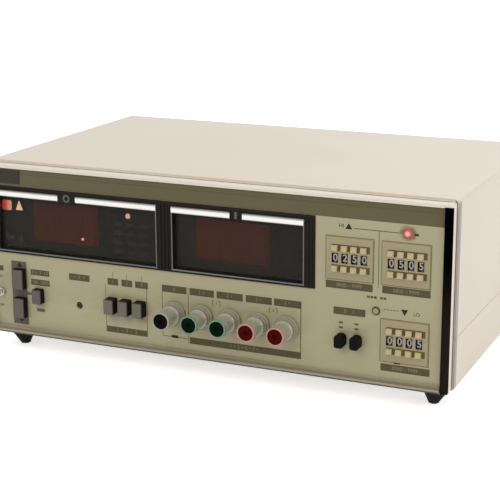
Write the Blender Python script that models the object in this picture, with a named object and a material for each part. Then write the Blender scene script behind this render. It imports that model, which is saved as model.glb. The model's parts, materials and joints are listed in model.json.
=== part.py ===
"""Bench component meter: metal case, twin displays, binding posts and pushwheel limit switches.

Metres, +Z up. The front faces -Y, and the origin lies under the middle of the part, on the
surface that its feet stand on. Depths are counted from the front of the bezel into the case,
and heights from the underside of the case.
"""

import math

import bmesh
import bpy
from mathutils import Matrix

# Overall sizes
CASE_WIDTH = 0.423
CASE_HEIGHT = 0.154
CASE_DEPTH = 0.264
FOOT_HEIGHT = 0.017
GAP = 0.0003

# Front bezel
BEZEL_DEPTH = 0.0095
BEZEL_SIDE_STEP = 0.0015
BEZEL_TOP_STEP = 0.002
GROOVE_WIDTH = 0.003
LIP_LENGTH = 0.007
LIP_WALL = 0.003
LIP_TOP_SPACE = 0.002
TOP_RAIL = 0.0029
BOTTOM_RAIL = 0.0066
SIDE_RAIL = 0.0065
PANEL_LEDGE = 0.0025
LEDGE_THICKNESS = 0.003
BEZEL_CORNER_RADIUS = 0.003
COVER_CORNER_RADIUS = 0.004
BOTTOM_CORNER_RADIUS = 0.002
BEZEL_EDGE_BEVEL = 0.0008
STRIP_SEAT_DEPTH = 0.003
STRIP_PROUD = 0.001
STRIP_BOTTOM = 0.0008
STRIP_TOP_SPACE = 0.0026
STRIP_EDGE_BEVEL = 0.0006

# Ends of the bezel, which the places along the front are counted from
HALF_WIDTH = CASE_WIDTH / 2
BEZEL_X = HALF_WIDTH - BEZEL_SIDE_STEP
BEZEL_TOP = CASE_HEIGHT - BEZEL_TOP_STEP
STRIP_TOP = BEZEL_TOP - STRIP_TOP_SPACE

# Covers and rear panel
COVER_THICKNESS = 0.0015
SEAM_HEIGHT = 0.276 * CASE_HEIGHT
SEAM_GAP = 0.0004
REAR_PANEL_INSET = 0.006
REAR_PANEL_THICKNESS = 0.002
STANDOFF_RADIUS = 0.0035
STANDOFF_HEIGHT = 0.010
VENT_COUNT = 12
VENT_PITCH = 0.008
VENT_WIDTH = 0.003
VENT_HEIGHT = 0.040
VENT_FROM_SIDE = 0.1165
VENT_CENTRE_X = VENT_FROM_SIDE - HALF_WIDTH
VENT_CENTRE_HEIGHT = 0.552 * CASE_HEIGHT
VENT_END_ROUNDING = 0.98

# Feet
FOOT_TOP_RADIUS = 0.012
FOOT_PAD_RADIUS = 0.0045
FOOT_PAD_SHIFT = 0.0018
FOOT_COLLAR = 0.003
FOOT_SCREW_RADIUS = 0.0022
FOOT_SCREW_DEPTH = 0.008
FOOT_FROM_SIDE = 0.0177
FOOT_X = HALF_WIDTH - FOOT_FROM_SIDE
FRONT_FOOT_DEPTH = 0.026
REAR_FOOT_SETBACK = 0.030

# Front panel
PANEL_RECESS = 0.0015
PANEL_THICKNESS = 0.003
BOSS_RADIUS = 0.003
BOSS_FROM_END = 0.0212
BOSS_LOW = 0.1006 * CASE_HEIGHT
BOSS_HIGH = 0.3994 * CASE_HEIGHT
BOSS_PLACES = (
    (BOSS_FROM_END - BEZEL_X, BOSS_HIGH),
    (-0.3357 * CASE_WIDTH, BOSS_LOW),
    (-0.2317 * CASE_WIDTH, BOSS_HIGH),
    (0.2364 * CASE_WIDTH, BOSS_HIGH),
    (0.2364 * CASE_WIDTH, BOSS_LOW),
)

# Pushwheel banks
BANK_WIDTH = 0.0385
BANK_HEIGHT = 0.0340
BANK_FLANGE = 0.0015
BANK_FLANGE_THICKNESS = 0.0009
BANK_BODY_DEPTH = 0.0255
BANK_FROM_END = 0.0361
BANK_SPACE = 0.0077
RIGHT_BANK_X = BEZEL_X - BANK_FROM_END
LEFT_BANK_X = RIGHT_BANK_X - BANK_WIDTH - BANK_SPACE
UPPER_BANK_HEIGHT = 0.6565 * CASE_HEIGHT
UPPER_LEFT_BANK = (LEFT_BANK_X, UPPER_BANK_HEIGHT)
UPPER_RIGHT_BANK = (RIGHT_BANK_X, UPPER_BANK_HEIGHT)
LOWER_BANK = (RIGHT_BANK_X, 0.2494 * CASE_HEIGHT)
DECADE_COUNT = 4
DECADE_PITCH = 0.0080
DIGIT_WINDOW = (0.0054, 0.0080)
WHEEL_APOTHEM = 0.0098
WHEEL_WIDTH = 0.0056
WHEEL_FACES = 10
WHEEL_SINK = 0.0014
WHEEL_SPACE_RADIUS = 0.0110
AXLE_RADIUS = 0.0015
PUSHER_SIZE = (0.0048, 0.0044)
PUSHER_OFFSET = 0.0083
PUSHER_PROUD = 0.0022

# Display
DISPLAY_FROM_END = 0.0096
DISPLAY_TO_BANK = 0.00985
DISPLAY_LEFT = DISPLAY_FROM_END - BEZEL_X
DISPLAY_RIGHT = LEFT_BANK_X - BANK_WIDTH / 2 - DISPLAY_TO_BANK
DISPLAY_WIDTH = DISPLAY_RIGHT - DISPLAY_LEFT
DISPLAY_BOTTOM = 0.4792 * CASE_HEIGHT
DISPLAY_TOP = 0.8649 * CASE_HEIGHT
DISPLAY_PROUD = 0.001
DISPLAY_BODY_DEPTH = 0.014
DISPLAY_FLANGE = 0.003
DISPLAY_FLANGE_THICKNESS = 0.0015
DISPLAY_SILL = 0.0012
DISPLAY_HEAD = 0.0032
DISPLAY_LEFT_POST = 0.0019
DISPLAY_RIGHT_POST = 0.0087
DIVIDER_WIDTH = 0.0131
WINDOW_BOTTOM = DISPLAY_BOTTOM + DISPLAY_SILL
WINDOW_TOP = DISPLAY_TOP - DISPLAY_HEAD
LEFT_WINDOW = (DISPLAY_LEFT + DISPLAY_LEFT_POST, DISPLAY_LEFT + 0.5311 * DISPLAY_WIDTH)
RIGHT_WINDOW = (LEFT_WINDOW[1] + DIVIDER_WIDTH, DISPLAY_RIGHT - DISPLAY_RIGHT_POST)
LEFT_NOTCH_SHARE = 0.4506
LEFT_NOTCH_WIDTH = 0.0170
RIGHT_NOTCH_SHARE = 0.4966
RIGHT_NOTCH_WIDTH = 0.0108
FRAME_TOP_BAR = 0.0060
FRAME_SIDE_BAR = 0.0014
FRAME_BOTTOM_BAR = 0.0016
FRAME_DEPTH = 0.005
FRAME_PROUD = 0.001
FRAME_BEVEL = 0.0007
LENS_THICKNESS = 0.002
LENS_SEAT = 0.0012
RIB_WIDTH = 0.0016
RIB_PITCH = 0.0032
RIB_HEIGHT = 0.0008
DIGIT_BOTTOM = 0.5584 * CASE_HEIGHT
DIGIT_TOP = 0.7792 * CASE_HEIGHT
LEFT_DIGIT_SHARES = (0.2065, 0.6176)
RIGHT_DIGIT_SHARES = (0.1655, 0.7162)
DIGIT_TO_LENS = 0.0012
BOARD_THICKNESS = 0.0016

# Buttons
BUTTON_TRAVEL = 0.003
BUTTON_LIP = 0.0012
BUTTON_LIP_THICKNESS = 0.0012
STEM_SIZE = 0.0050
STEM_LENGTH = 0.0035
BUTTON_CORNER_RADIUS = 0.0008
RANGE_FROM_END = 0.0320
RANGE_X = RANGE_FROM_END - BEZEL_X
RANGE_SIZE = (0.0112, 0.0182)
RANGE_ABOVE_LEDGE = 0.0069
RANGE_DOWN_HEIGHT = BOTTOM_RAIL + PANEL_LEDGE + RANGE_SIZE[1] / 2 + RANGE_ABOVE_LEDGE
RANGE_UP_HEIGHT = RANGE_DOWN_HEIGHT + 0.1695 * CASE_HEIGHT
RANGE_REACH = 0.0062
HOLD_FROM_END = 0.0507
HOLD_PLACE = (HOLD_FROM_END - BEZEL_X, 0.2429 * CASE_HEIGHT)
HOLD_SIZE = (0.0092, 0.0128)
HOLD_REACH = 0.0062
MODE_PITCH = 0.0137
MODE_FIRST_X = -0.1716 * CASE_WIDTH - MODE_PITCH
MODE_HEIGHT = 0.2455 * CASE_HEIGHT
MODE_SIZE = (0.0093, 0.0132)
MODE_REACH = 0.0085
FUNCTION_TO_BANK = 0.0520
FUNCTION_FIRST_X = RIGHT_BANK_X - FUNCTION_TO_BANK
FUNCTION_PITCH = 0.0130
FUNCTION_HEIGHT = 0.2234 * CASE_HEIGHT
FUNCTION_SIZE = (0.0074, 0.0102)
FUNCTION_REACH = 0.0092
FUNCTION_CORNER_RADIUS = 0.0024
KEY_BOARD_DEPTH = 0.0220
KEY_BOARD_FROM_END = 0.017
KEY_BOARD_TO_BANK = 0.0252
KEY_BOARD_X = (KEY_BOARD_FROM_END - BEZEL_X, RIGHT_BANK_X - KEY_BOARD_TO_BANK)
KEY_BOARD_HEIGHTS = (0.0714 * CASE_HEIGHT, 0.4286 * CASE_HEIGHT)
SWITCH_BODY_SIZE = 0.0090

# Power switch
POWER_FROM_END = 0.0123
POWER_PLACE = (POWER_FROM_END - BEZEL_X, 0.2422 * CASE_HEIGHT)
POWER_NUT_RADIUS = 0.0034
POWER_NUT_THICKNESS = 0.0020
POWER_BUSH_RADIUS = 0.0028
POWER_BUSH_REACH = 0.0048
POWER_PIVOT_REACH = 0.0030
POWER_SOCKET_RADIUS = 0.0022
POWER_BALL_RADIUS = 0.0019
POWER_LEVER_REACH = 0.0150
POWER_LEVER_NECK = 0.0010
POWER_LEVER_TIP = 0.0016
POWER_LEVER_TILT = 16.0
POWER_BODY_SIZE = (0.0058, 0.0130, 0.0120)

# Trimmer and LEDs
TRIMMER_PLACE = (-0.2811 * CASE_WIDTH, 0.2175 * CASE_HEIGHT)
TRIMMER_HOLE_RADIUS = 0.0032
TRIMMER_RADIUS = 0.0024
TRIMMER_SLOT_WIDTH = 0.0009
TRIMMER_SLOT_DEPTH = 0.0010
TRIMMER_SUNK = 0.0006
LIMIT_LED_OFFSET = 0.0008
LIMIT_LED_PLACE = (RIGHT_BANK_X + LIMIT_LED_OFFSET, 0.8195 * CASE_HEIGHT)
RING_LED_TO_BANK = 0.0238
RING_LED_PLACE = (RIGHT_BANK_X - RING_LED_TO_BANK, 0.3990 * CASE_HEIGHT)
LED_RADIUS = 0.0025
LED_DOME_REACH = 0.0018
LED_BARREL = 0.0060
LED_FLANGE = 0.0006

# Binding posts
POST_COUNT = 5
POST_PITCH = 0.06017 * CASE_WIDTH
POST_FIRST_X = 0.0562 * CASE_WIDTH - 2 * POST_PITCH
POST_HEIGHT = 0.2448 * CASE_HEIGHT
POST_REACH = 0.0256
COLLAR_RADIUS = 0.0106
COLLAR_STEP_RADIUS = 0.0092
COLLAR_STEP = 0.0028
COLLAR_REACH = 0.0056
BUSH_RADIUS = 0.0045
STUD_RADIUS = 0.0025
STUD_TAIL = 0.0110
STUD_REACH = 0.0100
NUT_SKIRT_RADIUS = 0.0083
NUT_BODY_RADIUS = 0.0072
NUT_HEAD_RADIUS = 0.0078
NUT_GROOVE = 0.0006
NUT_SKIRT_LENGTH = 0.0030
NUT_HEAD_LENGTH = 0.0050
PLUG_BORE_RADIUS = 0.0022
NUT_FACE_RECESS = 0.0005
NUT_FACE_RADIUS = 0.0060

# Rear connections
INLET_FROM_SIDE = 0.0615
REAR_ROW_HEIGHT = 0.2597 * CASE_HEIGHT
INLET_PLACE = (HALF_WIDTH - INLET_FROM_SIDE, REAR_ROW_HEIGHT)
INLET_FLANGE = (0.0480, 0.0260)
INLET_CORNER_RADIUS = 0.004
INLET_FLANGE_THICKNESS = 0.0020
INLET_BODY = (0.0272, 0.0200)
INLET_BODY_DEPTH = 0.0180
INLET_CAVITY = (0.0236, 0.0160)
INLET_CAVITY_DEPTH = 0.0150
PIN_SIZE = (0.0020, 0.0040)
PIN_LENGTH = 0.0090
PIN_PLACES = ((-0.007, -0.002), (0.0, 0.002), (0.007, -0.002))
FUSE_FROM_SIDE = 0.1035
FUSE_PLACE = (HALF_WIDTH - FUSE_FROM_SIDE, REAR_ROW_HEIGHT)
FUSE_CAP_RADIUS = 0.0075
FUSE_CAP_REACH = 0.0050
FUSE_CAP_SLOT = (0.0100, 0.0014, 0.0012)
FUSE_BODY_RADIUS = 0.0062
FUSE_BODY_LENGTH = 0.0240

# Inner boards and transformer
MAIN_BOARD_FROM_SIDE = 0.0465
MAIN_BOARD_FRONT = 0.062
MAIN_BOARD_TO_REAR = 0.032
MAIN_BOARD_X = (MAIN_BOARD_FROM_SIDE - HALF_WIDTH, 0.13 * CASE_WIDTH)
MAIN_BOARD_DEPTHS = (MAIN_BOARD_FRONT, CASE_DEPTH - MAIN_BOARD_TO_REAR)
MAIN_BOARD_EDGE = 0.006
CHIP_ROWS = 4
CHIP_COLUMNS = 5
CHIP_SIZE = (0.0200, 0.0075, 0.0040)
CHIP_PITCH = (0.0300, 0.0200)
CAPACITOR_RADIUS = 0.0090
CAPACITOR_HEIGHT = 0.0300
CAPACITOR_COUNT = 3
CAPACITOR_PITCH = 0.024
CORE_SIZE = (0.0600, 0.0320, 0.0500)
COIL_SIZE = (0.0340, 0.0500, 0.0300)
CORE_FOOT = (0.0840, 0.0320, 0.0020)
TRANSFORMER_FROM_SIDE = 0.0815
TRANSFORMER_PLACE = (HALF_WIDTH - TRANSFORMER_FROM_SIDE, 0.568 * CASE_DEPTH)

POST_FORWARD = POST_REACH - PANEL_RECESS
FRONT_Y = (POST_FORWARD - CASE_DEPTH) / 2
PANEL_BACK = PANEL_RECESS + PANEL_THICKNESS
OPENING_X = BEZEL_X - SIDE_RAIL
OPENING_BOTTOM = BOTTOM_RAIL
OPENING_TOP = BEZEL_TOP - TOP_RAIL
WHEEL_CENTRE_DEPTH = PANEL_RECESS - BANK_FLANGE_THICKNESS - GAP + WHEEL_SINK + WHEEL_APOTHEM
BANK_FACE = PANEL_RECESS - GAP - BANK_FLANGE_THICKNESS
REAR_FACE_DEPTH = CASE_DEPTH - REAR_PANEL_INSET

ROUND_STEPS = 16
FINE_STEPS = 20
STUD_STEPS = 12
ARC_STEPS = 6
SMALL_ARC_STEPS = 2
BEVEL_PROFILE = 0.5
SMOOTH_ANGLE = 35.0


def y_at(depth):
    """World Y at a depth behind the front of the bezel."""
    return FRONT_Y + depth


def z_at(height):
    """World Z at a height above the underside of the case."""
    return FOOT_HEIGHT + height


def clear_scene():
    for old in list(bpy.data.objects):
        bpy.data.objects.remove(old, do_unlink=True)


def make_material(name, colour, roughness, metallic=0.0):
    material = bpy.data.materials.new(name)
    material.use_nodes = True
    shader = material.node_tree.nodes["Principled BSDF"]
    shader.inputs["Base Color"].default_value = (*colour, 1.0)
    shader.inputs["Roughness"].default_value = roughness
    shader.inputs["Metallic"].default_value = metallic
    material.diffuse_color = (*colour, 1.0)
    return material


def rectangle(low_u, high_u, low_v, high_v):
    return [(low_u, low_v), (high_u, low_v), (high_u, high_v), (low_u, high_v)]


def rounded_rectangle(low_u, high_u, low_v, high_v, low_radius, high_radius, steps=ARC_STEPS):
    """Rectangle outline whose lower and upper corners have their own radii."""
    corners = (
        (low_u + low_radius, low_v + low_radius, low_radius, 180.0),
        (high_u - low_radius, low_v + low_radius, low_radius, 270.0),
        (high_u - high_radius, high_v - high_radius, high_radius, 0.0),
        (low_u + high_radius, high_v - high_radius, high_radius, 90.0),
    )
    outline = []
    for centre_u, centre_v, radius, start in corners:
        for step in range(steps + 1):
            angle = math.radians(start + 90.0 * step / steps)
            outline.append((centre_u + radius * math.cos(angle), centre_v + radius * math.sin(angle)))
    return outline


def circle(centre_u, centre_v, radius, steps=ROUND_STEPS, turn=0.0):
    return [
        (
            centre_u + radius * math.cos(turn + math.tau * step / steps),
            centre_v + radius * math.sin(turn + math.tau * step / steps),
        )
        for step in range(steps)
    ]


def grow(outline_box, amount):
    """A (low_u, high_u, low_v, high_v) box that is larger on each side by the amount."""
    low_u, high_u, low_v, high_v = outline_box
    return low_u - amount, high_u + amount, low_v - amount, high_v + amount


def place_point(axis, u, v, along):
    if axis == "X":
        return along, u, v
    if axis == "Y":
        return u, along, v
    return u, v, along


def add_prism(bm, outline, axis, low, high):
    """Extrude a flat outline along an axis. Outlines are (x, z) for Y, (y, z) for X, (x, y) for Z."""
    verts = [bm.verts.new(place_point(axis, u, v, low)) for u, v in outline]
    face = bm.faces.new(verts)
    moved = bmesh.ops.extrude_face_region(bm, geom=[face])["geom"]
    shift = place_point(axis, 0.0, 0.0, high - low)
    moved_verts = [item for item in moved if isinstance(item, bmesh.types.BMVert)]
    bmesh.ops.translate(bm, verts=moved_verts, vec=shift)
    return moved_verts


def add_turned(bm, profile, centre, axis, steps=ROUND_STEPS):
    """Spin a profile of (radius, along) points about an axis through the centre."""
    centre_u, centre_v = centre
    verts = [
        bm.verts.new(place_point(axis, centre_u + radius, centre_v, along))
        for radius, along in profile
    ]
    edges = [bm.edges.new(pair) for pair in zip(verts, verts[1:])]
    if profile[0][0] > 0.0:
        edges.append(bm.edges.new((verts[-1], verts[0])))
    direction = place_point(axis, 0.0, 0.0, 1.0)
    pivot = place_point(axis, centre_u, centre_v, 0.0)
    bmesh.ops.spin(bm, geom=verts + edges, cent=pivot, axis=direction, angle=math.tau,
                   steps=steps, use_merge=True)
    bmesh.ops.remove_doubles(bm, verts=bm.verts, dist=1e-6)


def add_loft(bm, loops):
    """Skin a stack of loops that have as many points each, and close both ends."""
    rows = [[bm.verts.new(point) for point in loop] for loop in loops]
    for row, next_row in zip(rows, rows[1:]):
        for index in range(len(row)):
            follow = (index + 1) % len(row)
            bm.faces.new((row[index], row[follow], next_row[follow], next_row[index]))
    bm.faces.new(rows[0])
    bm.faces.new(list(reversed(rows[-1])))


def front_edges(bm, depth):
    """Edges that lie in the plane at a depth behind the front of the bezel."""
    plane = y_at(depth)
    return [edge for edge in bm.edges if all(abs(vert.co.y - plane) < 1e-6 for vert in edge.verts)]


def bevel(bm, edges, width, segments=2):
    bmesh.ops.bevel(bm, geom=edges, offset=width, segments=segments, profile=BEVEL_PROFILE,
                     affect="EDGES", clamp_overlap=True)


def make_object(name, bm, material=None, origin=(0.0, 0.0, 0.0), smooth=False):
    """Turn a bmesh in world coordinates into an object whose origin is at the given point."""
    bmesh.ops.recalc_face_normals(bm, faces=bm.faces)
    bmesh.ops.transform(bm, matrix=Matrix.Translation([-value for value in origin]), verts=bm.verts)
    mesh = bpy.data.meshes.new(name)
    bm.to_mesh(mesh)
    bm.free()
    if smooth:
        mesh.shade_smooth()
        mesh.set_sharp_from_angle(angle=math.radians(SMOOTH_ANGLE))
    if material is not None:
        mesh.materials.append(material)
    part = bpy.data.objects.new(name, mesh)
    part.location = origin
    bpy.context.scene.collection.objects.link(part)
    return part


def combine(part, bm, operation, label):
    """Cut the shape in bm from the part, or unite it with the part, by a live Boolean."""
    tool = make_object(f"{part.name}_{label}", bm)
    tool.hide_render = True
    tool.display_type = "WIRE"
    modifier = part.modifiers.new(label, "BOOLEAN")
    modifier.operation = operation
    modifier.solver = "EXACT"
    modifier.object = tool


def cut(part, bm, label):
    combine(part, bm, "DIFFERENCE", label)


def unite(part, bm, label):
    combine(part, bm, "UNION", label)


def box_prism(bm, low_x, high_x, low_depth, high_depth, low_height, high_height):
    outline = rectangle(low_x, high_x, z_at(low_height), z_at(high_height))
    add_prism(bm, outline, "Y", y_at(low_depth), y_at(high_depth))


def opening_box(inset):
    """The bezel's opening, as (low_x, high_x, low_z, high_z), made smaller by an inset."""
    return (
        -OPENING_X + inset,
        OPENING_X - inset,
        z_at(OPENING_BOTTOM + inset),
        z_at(OPENING_TOP - inset),
    )


def case_outline(inset):
    return rounded_rectangle(
        -HALF_WIDTH + inset,
        HALF_WIDTH - inset,
        z_at(inset),
        z_at(CASE_HEIGHT - inset),
        max(BOTTOM_CORNER_RADIUS - inset, GAP),
        max(COVER_CORNER_RADIUS - inset, GAP),
    )


def bezel_outline():
    """The bezel's outer outline, which is stepped in from the covers at its ends and top."""
    return rounded_rectangle(
        -BEZEL_X,
        BEZEL_X,
        z_at(0.0),
        z_at(BEZEL_TOP),
        BOTTOM_CORNER_RADIUS,
        BEZEL_CORNER_RADIUS,
    )


def lip_outline(inset):
    """Outline of the lip that fits in the covers and leaves a slot under the top one."""
    wall = COVER_THICKNESS + GAP
    lip_x = HALF_WIDTH - wall - inset
    return rounded_rectangle(
        -lip_x,
        lip_x,
        z_at(wall + inset),
        z_at(CASE_HEIGHT - COVER_THICKNESS - LIP_TOP_SPACE - inset),
        max(BOTTOM_CORNER_RADIUS - wall - inset, GAP),
        max(BEZEL_CORNER_RADIUS - inset, GAP),
    )


def build_front_bezel(material):
    bm = bmesh.new()
    add_prism(bm, bezel_outline(), "Y", y_at(0.0), y_at(BEZEL_DEPTH))
    bevel(bm, front_edges(bm, 0.0), BEZEL_EDGE_BEVEL)
    bezel = make_object("front_bezel", bm, material)

    lip = bmesh.new()
    lip_end = BEZEL_DEPTH + GROOVE_WIDTH + LIP_LENGTH
    add_prism(lip, lip_outline(0.0), "Y", y_at(BEZEL_DEPTH - LIP_WALL), y_at(lip_end))
    unite(bezel, lip, "lip")

    pocket = bmesh.new()
    seat = PANEL_BACK + GAP
    add_prism(pocket, rectangle(*opening_box(0.0)), "Y", y_at(-STRIP_PROUD), y_at(seat))
    cut(bezel, pocket, "panel_pocket")

    ledge = bmesh.new()
    add_prism(ledge, rectangle(*opening_box(PANEL_LEDGE)), "Y", y_at(0.0), y_at(lip_end + GAP))
    cut(bezel, ledge, "ledge_opening")

    back = bmesh.new()
    add_prism(back, lip_outline(LIP_WALL), "Y", y_at(seat + LEDGE_THICKNESS), y_at(lip_end + GAP))
    cut(bezel, back, "rear_space")

    seats = bmesh.new()
    for side in (-1.0, 1.0):
        low_x, high_x = sorted((side * (OPENING_X - GAP), side * (BEZEL_X + GAP)))
        box_prism(seats, low_x, high_x, -STRIP_PROUD, STRIP_SEAT_DEPTH, -GAP, STRIP_TOP + GAP)
    cut(bezel, seats, "strip_seats")


def build_side_strips(material):
    for name, side in (("side_strip_left", -1.0), ("side_strip_right", 1.0)):
        bm = bmesh.new()
        low_x, high_x = sorted((side * (OPENING_X + GAP), side * BEZEL_X))
        outline = rectangle(low_x, high_x, z_at(STRIP_BOTTOM), z_at(STRIP_TOP))
        add_prism(bm, outline, "Y", y_at(-STRIP_PROUD), y_at(STRIP_SEAT_DEPTH - GAP))
        bevel(bm, front_edges(bm, -STRIP_PROUD), STRIP_EDGE_BEVEL)
        make_object(name, bm, material)


def cover_outline(low_height, high_height):
    """Half of the case's shell as one closed outline, open towards the seam."""
    outer = case_outline(0.0)
    inner = case_outline(COVER_THICKNESS)
    seam = z_at(SEAM_HEIGHT)
    upper = high_height > SEAM_HEIGHT

    away = 1.0 if upper else -1.0

    def kept(points):
        wanted = [point for point in points if (point[1] > seam) == upper]
        return sorted(wanted, key=lambda point: math.atan2(point[0], (point[1] - seam) * away))

    edge = z_at(low_height if upper else high_height)
    outer_run = [(-HALF_WIDTH, edge)] + kept(outer) + [(HALF_WIDTH, edge)]
    inner_x = HALF_WIDTH - COVER_THICKNESS
    inner_run = [(-inner_x, edge)] + kept(inner) + [(inner_x, edge)]
    return outer_run + inner_run[::-1]


def build_covers(top_material, bottom_material):
    front = BEZEL_DEPTH + GROOVE_WIDTH
    top = bmesh.new()
    upper = cover_outline(SEAM_HEIGHT + SEAM_GAP / 2, CASE_HEIGHT)
    add_prism(top, upper, "Y", y_at(front), y_at(CASE_DEPTH))
    make_object("top_cover", top, top_material)

    bottom = bmesh.new()
    lower = cover_outline(0.0, SEAM_HEIGHT - SEAM_GAP / 2)
    add_prism(bottom, lower, "Y", y_at(front), y_at(CASE_DEPTH))
    cover = make_object("bottom_cover", bottom, bottom_material)

    studs = bmesh.new()
    for x, depth in main_board_corners():
        outline = circle(x, y_at(depth), STANDOFF_RADIUS, STUD_STEPS)
        add_prism(studs, outline, "Z", z_at(COVER_THICKNESS / 2), z_at(COVER_THICKNESS + STANDOFF_HEIGHT))
    unite(cover, studs, "standoffs")


def build_rear_panel(material):
    inset = COVER_THICKNESS + GAP
    inner_face = REAR_FACE_DEPTH - REAR_PANEL_THICKNESS
    bm = bmesh.new()
    add_prism(bm, case_outline(inset), "Y", y_at(inner_face), y_at(REAR_FACE_DEPTH))
    panel = make_object("rear_panel", bm, material)

    holes = bmesh.new()
    low = y_at(inner_face - GAP)
    high = y_at(REAR_FACE_DEPTH + GAP)
    for index in range(VENT_COUNT):
        x = VENT_CENTRE_X + (index - (VENT_COUNT - 1) / 2) * VENT_PITCH
        half = VENT_WIDTH / 2
        radius = half * VENT_END_ROUNDING
        box = centred_box((x, VENT_CENTRE_HEIGHT), (VENT_WIDTH, VENT_HEIGHT))
        slot = rounded_rectangle(*box, radius, radius, SMALL_ARC_STEPS)
        add_prism(holes, slot, "Y", low, high)
    add_prism(holes, rectangle(*centred_box(INLET_PLACE, INLET_BODY, GAP)), "Y", low, high)
    add_prism(holes, circle(FUSE_PLACE[0], z_at(FUSE_PLACE[1]), FUSE_BODY_RADIUS + GAP), "Y", low, high)
    cut(panel, holes, "holes")


def foot_ring(x, y, radius, z):
    return [(u, v, z) for u, v in circle(x, y, radius, FINE_STEPS)]


def build_feet(material):
    """Rubber feet whose pad sits nearer the middle of the case than their collar."""
    places = (
        ("foot_front_left", -1.0, FRONT_FOOT_DEPTH),
        ("foot_front_right", 1.0, FRONT_FOOT_DEPTH),
        ("foot_rear_left", -1.0, CASE_DEPTH - REAR_FOOT_SETBACK),
        ("foot_rear_right", 1.0, CASE_DEPTH - REAR_FOOT_SETBACK),
    )
    top = FOOT_HEIGHT - GAP
    for name, side, depth in places:
        x = side * FOOT_X
        pad_x = side * (FOOT_X - FOOT_PAD_SHIFT)
        y = y_at(depth)
        bm = bmesh.new()
        add_loft(bm, [
            foot_ring(x, y, FOOT_TOP_RADIUS, top),
            foot_ring(x, y, FOOT_TOP_RADIUS, top - FOOT_COLLAR),
            foot_ring(pad_x, y, FOOT_PAD_RADIUS, 0.0),
            foot_ring(pad_x, y, FOOT_SCREW_RADIUS, 0.0),
            foot_ring(pad_x, y, FOOT_SCREW_RADIUS, FOOT_SCREW_DEPTH),
        ])
        make_object(name, bm, material, smooth=True)


def button_specs():
    """Name, place, size, reach and corner radius of each push button."""
    specs = [
        ("range_up_button", (RANGE_X, RANGE_UP_HEIGHT), RANGE_SIZE, RANGE_REACH, BUTTON_CORNER_RADIUS),
        ("range_down_button", (RANGE_X, RANGE_DOWN_HEIGHT), RANGE_SIZE, RANGE_REACH, BUTTON_CORNER_RADIUS),
        ("hold_button", HOLD_PLACE, HOLD_SIZE, HOLD_REACH, BUTTON_CORNER_RADIUS),
    ]
    for index in range(3):
        place = (MODE_FIRST_X + index * MODE_PITCH, MODE_HEIGHT)
        specs.append((f"mode_button_{index + 1}", place, MODE_SIZE, MODE_REACH, BUTTON_CORNER_RADIUS))
    for index in range(2):
        place = (FUNCTION_FIRST_X + index * FUNCTION_PITCH, FUNCTION_HEIGHT)
        spec = (f"function_button_{index + 1}", place, FUNCTION_SIZE, FUNCTION_REACH, FUNCTION_CORNER_RADIUS)
        specs.append(spec)
    return specs


def centred_box(place, size, margin=0.0):
    """A box round a place on the front, as (low_x, high_x, low_z, high_z)."""
    half_x = size[0] / 2 + margin
    half_z = size[1] / 2 + margin
    z = z_at(place[1])
    return place[0] - half_x, place[0] + half_x, z - half_z, z + half_z


def block_loop(place, size, radius, depth):
    box = centred_box(place, size)
    outline = rounded_rectangle(*box, radius, radius, SMALL_ARC_STEPS)
    return [(x, y_at(depth), z) for x, z in outline]


def build_buttons(grey, black):
    for name, place, size, reach, radius in button_specs():
        cap_front = PANEL_RECESS - reach
        lip_size = (size[0] + 2 * BUTTON_LIP, size[1] + 2 * BUTTON_LIP)
        lip_front = PANEL_BACK + GAP
        lip_back = lip_front + BUTTON_LIP_THICKNESS
        stem = (STEM_SIZE, STEM_SIZE)
        edge = radius / 2
        face_size = (size[0] - 2 * edge, size[1] - 2 * edge)
        bm = bmesh.new()
        add_loft(bm, [
            block_loop(place, face_size, radius, cap_front),
            block_loop(place, size, radius, cap_front + edge),
            block_loop(place, size, radius, lip_front),
            block_loop(place, lip_size, radius, lip_front),
            block_loop(place, lip_size, radius, lip_back),
            block_loop(place, stem, radius / 2, lip_back),
            block_loop(place, stem, radius / 2, lip_back + STEM_LENGTH),
        ])
        origin = (place[0], y_at(cap_front), z_at(place[1]))
        make_object(name, bm, black if name.startswith("function") else grey, origin, smooth=True)


def build_front_panel(material):
    bm = bmesh.new()
    low_x, high_x, low_z, high_z = opening_box(GAP)
    add_prism(bm, rectangle(low_x, high_x, low_z, high_z), "Y", y_at(PANEL_RECESS), y_at(PANEL_BACK))
    panel = make_object("front_panel", bm, material)

    holes = bmesh.new()
    low = y_at(PANEL_RECESS - GAP)
    high = y_at(PANEL_BACK + GAP)
    outlines = [rectangle(*grow(display_box(), GAP))]
    for _, place, size, _, radius in button_specs():
        box = centred_box(place, size, GAP)
        outlines.append(rounded_rectangle(*box, radius + GAP, radius + GAP, SMALL_ARC_STEPS))
    for place in (UPPER_LEFT_BANK, UPPER_RIGHT_BANK, LOWER_BANK):
        outlines.append(rectangle(*centred_box(place, bank_body_size(), GAP)))
    for index in range(POST_COUNT):
        outlines.append(circle(post_x(index), z_at(POST_HEIGHT), BUSH_RADIUS + GAP))
    for place in (LIMIT_LED_PLACE, RING_LED_PLACE):
        outlines.append(circle(place[0], z_at(place[1]), LED_RADIUS + GAP))
    outlines.append(circle(TRIMMER_PLACE[0], z_at(TRIMMER_PLACE[1]), TRIMMER_HOLE_RADIUS, FINE_STEPS))
    outlines.append(circle(POWER_PLACE[0], z_at(POWER_PLACE[1]), POWER_BUSH_RADIUS + GAP, FINE_STEPS))
    for outline in outlines:
        add_prism(holes, outline, "Y", low, high)
    cut(panel, holes, "holes")

    bosses = bmesh.new()
    for x, height in BOSS_PLACES:
        outline = circle(x, z_at(height), BOSS_RADIUS, STUD_STEPS)
        add_prism(bosses, outline, "Y", y_at(PANEL_BACK - PANEL_THICKNESS / 2), y_at(KEY_BOARD_DEPTH - GAP))
    unite(panel, bosses, "bosses")


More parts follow.
